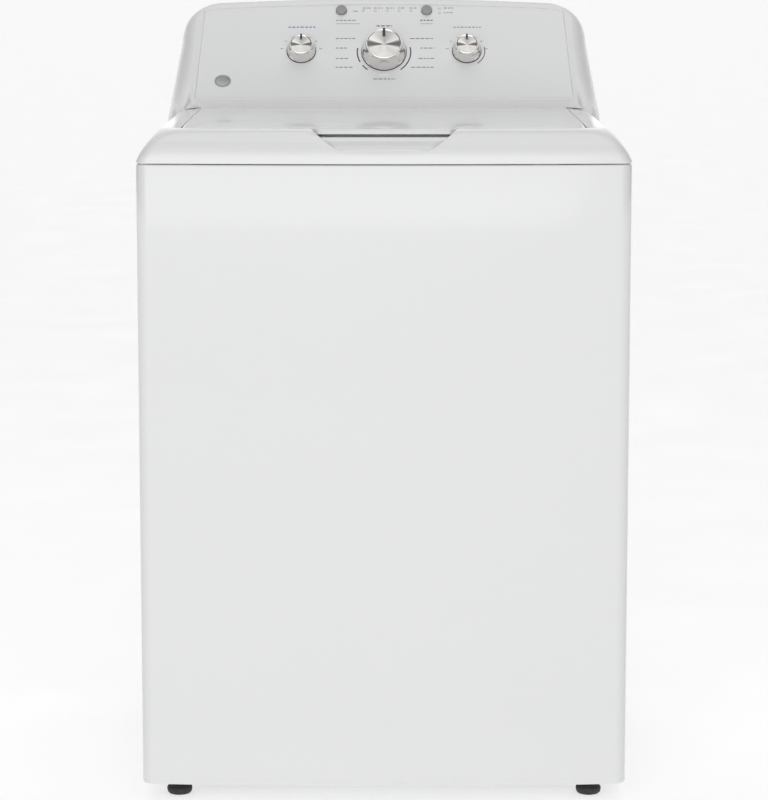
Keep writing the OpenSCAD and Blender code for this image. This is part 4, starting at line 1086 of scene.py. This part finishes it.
def inlets():
    """The twin inlet valve: a body, two threaded inlets with filter screens and two solenoids."""
    low, high = box("inlet_valve")
    places = [mount_place(name) for name in ("cold_inlet", "hot_inlet")]
    x0, z0 = min(x for x, _ in places) - 20, places[0][1]
    add_piece("valve_body", block((x0, low.y, z0 - 20), (x0 + 90, low.y + 41, z0 + 20)), "white_plastic",
              "cabinet", ["inlet_valve"], bevel=2.5)
    face, pitch, turns = low.y + 41, 2.3, 6
    profile = shifted([(9, -4), (14.6, -4), (14.6, 0.9), (12.2, 1.4)], up=face)
    for i in range(turns):
        profile += shifted([(12.2, 0), (13.3, 0.9), (13.3, 1.25), (12.2, 2.1)], up=face + 2.4 + i * pitch)
    profile += shifted([(12.2, -0.8), (11.6, 0), (9.6, 0), (9, -0.6)], up=high.y)
    for i, (x, z) in enumerate(places):
        add_piece(f"threaded_inlet_{i}", facing_back(profile, x, z, 72), "white_plastic", "cabinet", sharp=30)
        ribs = [facing_back(shifted([(0, -9), (0.7, -9), (0.7, -8), (0, -8)], r, high.y), x, z, 40)
                for r in (1.2, 3.4, 5.6, 7.8)]
        ribs += [block((x - across, high.y - 9.2, z - up), (x + across, high.y - 8.2, z + up))
                 for across, up in ((8.8, 0.35), (0.35, 8.8))]
        add_piece(f"inlet_screen_{i}", joined(ribs), "machined_steel", "cabinet", sharp=30)
        base = z + 19
        coil = shifted([(3, 0), (13.5, 0), (15, 1.5), (15, 6), (14.2, 7), (14.2, 27), (15, 28), (15, 32),
                        (13.5, 34), (6, 34), (5.4, 33), (3, 33)], up=base)
        add_piece(f"solenoid_{i}", moved(turned(coil, 64, closed=True), by=(x, 310, 0)), "black_plastic",
                  "cabinet", sharp=30)
        tabs = [block((x + s * 5 - 2, 322, base + 34), (x + s * 5 + 2, 322.8, base + 38)) for s in (-1, 1)]
        add_piece(f"solenoid_tabs_{i}", joined(tabs), "machined_steel", "cabinet")


def drain_spigot():
    """The outlet for a hose: a flange inside the panel and a barbed spigot outside it."""
    low, high = box("drain_port")
    profile = [(12, low.y), (15, low.y)]
    profile += shifted([(15, -3.1), (22.6, -3.1), (23.6, -2.2), (23.6, -0.5), (22.8, -0.1), (15, -0.1)],
                       up=REAR_Y)
    for barb in (1.2, 5.4, 9.4):
        profile += shifted([(14.0, 0), (15.0, 0.8), (15.0, 1.6), (14.0, 3.2)], up=REAR_Y + barb)
    profile += shifted([(14.0, -0.6), (13.5, 0), (12.4, 0), (12, -0.4)], up=high.y)
    add_piece("drain_spigot", facing_back(profile, *mount_place("drain_outlet"), 72), "grey_plastic",
              "cabinet", ["drain_port"], sharp=30)


def feet():
    """Four rubber feet with rounded soles."""
    high = box("foot_pads")[1]
    r, top = 18.0, high.z
    profile = [(0, 0.4), (9, 0.4), (10, 0), (13.5, 0), (15.2, 0.6), (17, 2.4), (17.9, 5.5), (r, 8.6),
               (17.4, 10), (15.4, 11.2)]
    profile += shifted([(14.4, -0.6), (13.6, 0), (5.2, 0), (5.2, -4), (0, -4)], up=top)
    x, y = high.x - r, high.y - r
    pads = [moved(turned(profile, 72), by=(sx * x, sy * y, 0)) for sx, sy in EVERY_CORNER]
    add_piece("levelling_feet", joined(pads), "black_rubber", "cabinet", ["foot_pads"], sharp=35)


# ---- camera, light and floor ----

def camera():
    away, height, tilt = 4.016, 1.212, 8.12  # metres in front of the cabinet, metres up, degrees down
    lens = bpy.data.cameras.new("camera")
    lens.lens, lens.shift_y, lens.clip_end = 131.8, -0.0535, 400
    scene.camera = linked("camera", lens)
    scene.camera.location = (0, -HALF_D * MM - away, height)
    scene.camera.rotation_euler = (math.radians(90 - tilt), 0, 0)


def floor():
    reach = 120
    mesh = bpy.data.meshes.new("floor")
    mesh.from_pydata([(-reach, -reach, 0), (reach, -reach, 0), (reach, reach, 0), (-reach, reach, 0)], [],
                     [(0, 1, 2, 3)])
    look("floor", (0.5, 0.5, 0.5), 0.8, vary=0.004, cloud=1.5, grain=30, depth=1e-5,
         **{"Emission Color": (1, 1, 1, 1), "Emission Strength": 0.62})
    mesh.materials.append(LOOKS["floor"])
    linked("floor", mesh)


def area(name, place, aim, size, power):
    data = bpy.data.lights.new(name, "AREA")
    data.shape, data.size, data.size_y, data.energy = "RECTANGLE", *size, power
    lamp = linked(name, data)
    lamp.location = place
    lamp.rotation_euler = (Vector(aim) - Vector(place)).to_track_quat("-Z", "Y").to_euler()


def light():
    """A white world, darker to the sides and overhead, with a large key in front and a soft one above."""
    scene.view_settings.view_transform = "Standard"
    scene.view_settings.look = "None"
    scene.world = bpy.data.worlds.new("studio")
    scene.world.use_nodes = True
    graph = Graph(scene.world.node_tree)
    towards = graph.node("ShaderNodeTexCoord").outputs["Generated"]
    part = graph.node("ShaderNodeSeparateXYZ", {"Vector": towards}).outputs
    sides = graph.span(graph.maths("ABSOLUTE", part["X"]), 1.19, 0.1, 0.3, 0.85, "SMOOTHSTEP")
    overhead = graph.span(part["Z"], 1.0, 0.55, 0.1, 0.9, "SMOOTHSTEP")
    graph.feed(graph.tree.nodes["Background"],
               {"Strength": graph.maths("MULTIPLY", sides, overhead), "Color": (1, 1, 1, 1)})
    area("key", (-0.6, -3.8, 1.7), (0, 0, 0.5), (3.4, 2.6), 25)
    area("top", (0.2, 0.3, 3.4), (0, 0, 0.9), (2.6, 2.2), 12)


# ---- CAD nodes that stay: each gets the finish of its slot ----

# Nodes with rounded edges, and their width in millimetres.
SOFT_EDGED = {"tub_ring": 1.0, "bleach_dispenser": 0.5, "cord_gland": 0.8, "lid_lock": 0.8,
              "console_back": 0.3, "motor_housing": 1.2, "bearing_housing": 1.5, "drain_pump": 1.0,
              "suspension_brackets": 0.6, "drive_pulley": 0.6, "base_frame": 0.8, "tub_support": 0.6,
              "rod_end_caps": 0.8}


def dress_nodes():
    """Gives every node of the frame its finish."""
    slot_of = {part["node"]: part["material_slot"] for part in frame["record"]["subparts"]}
    for name, node in frame["nodes"].items():
        node.data.materials.clear()
        node.data.materials.append(LOOKS[slot_of[name]])
        if name in SOFT_EDGED:
            soften(node, SOFT_EDGED[name], 2, 40)


dress_nodes()
camera()
floor()
light()
cabinet_skin()
top_cover()
lid_pan()
lid_liner()
console_shell()
knob("cycle_knob", ["cycle_knob", "cycle_knob_cap"], 0, KNOB_S, 35, 24.3, (2.0, 14.5, 28.6))
knob("water_level_knob", ["water_level_knob", "water_level_knob_cap"], -SMALL_X, SMALL_S, 22.5, 20,
     (1.5, 9.5, 18.6))
knob("temperature_knob", ["temperature_knob"], SMALL_X, SMALL_S, 22.5, 20, (1.5, 9.5, 18.6))
push_button("option_push_button", "option_button", -BUTTON_X)
push_button("start_push_button", "start_button", BUTTON_X)
fascia_print()
badge()
lamps()
basket()
agitator()
springs()
hoses()
rear_panel()
inlets()
drain_spigot()
feet()
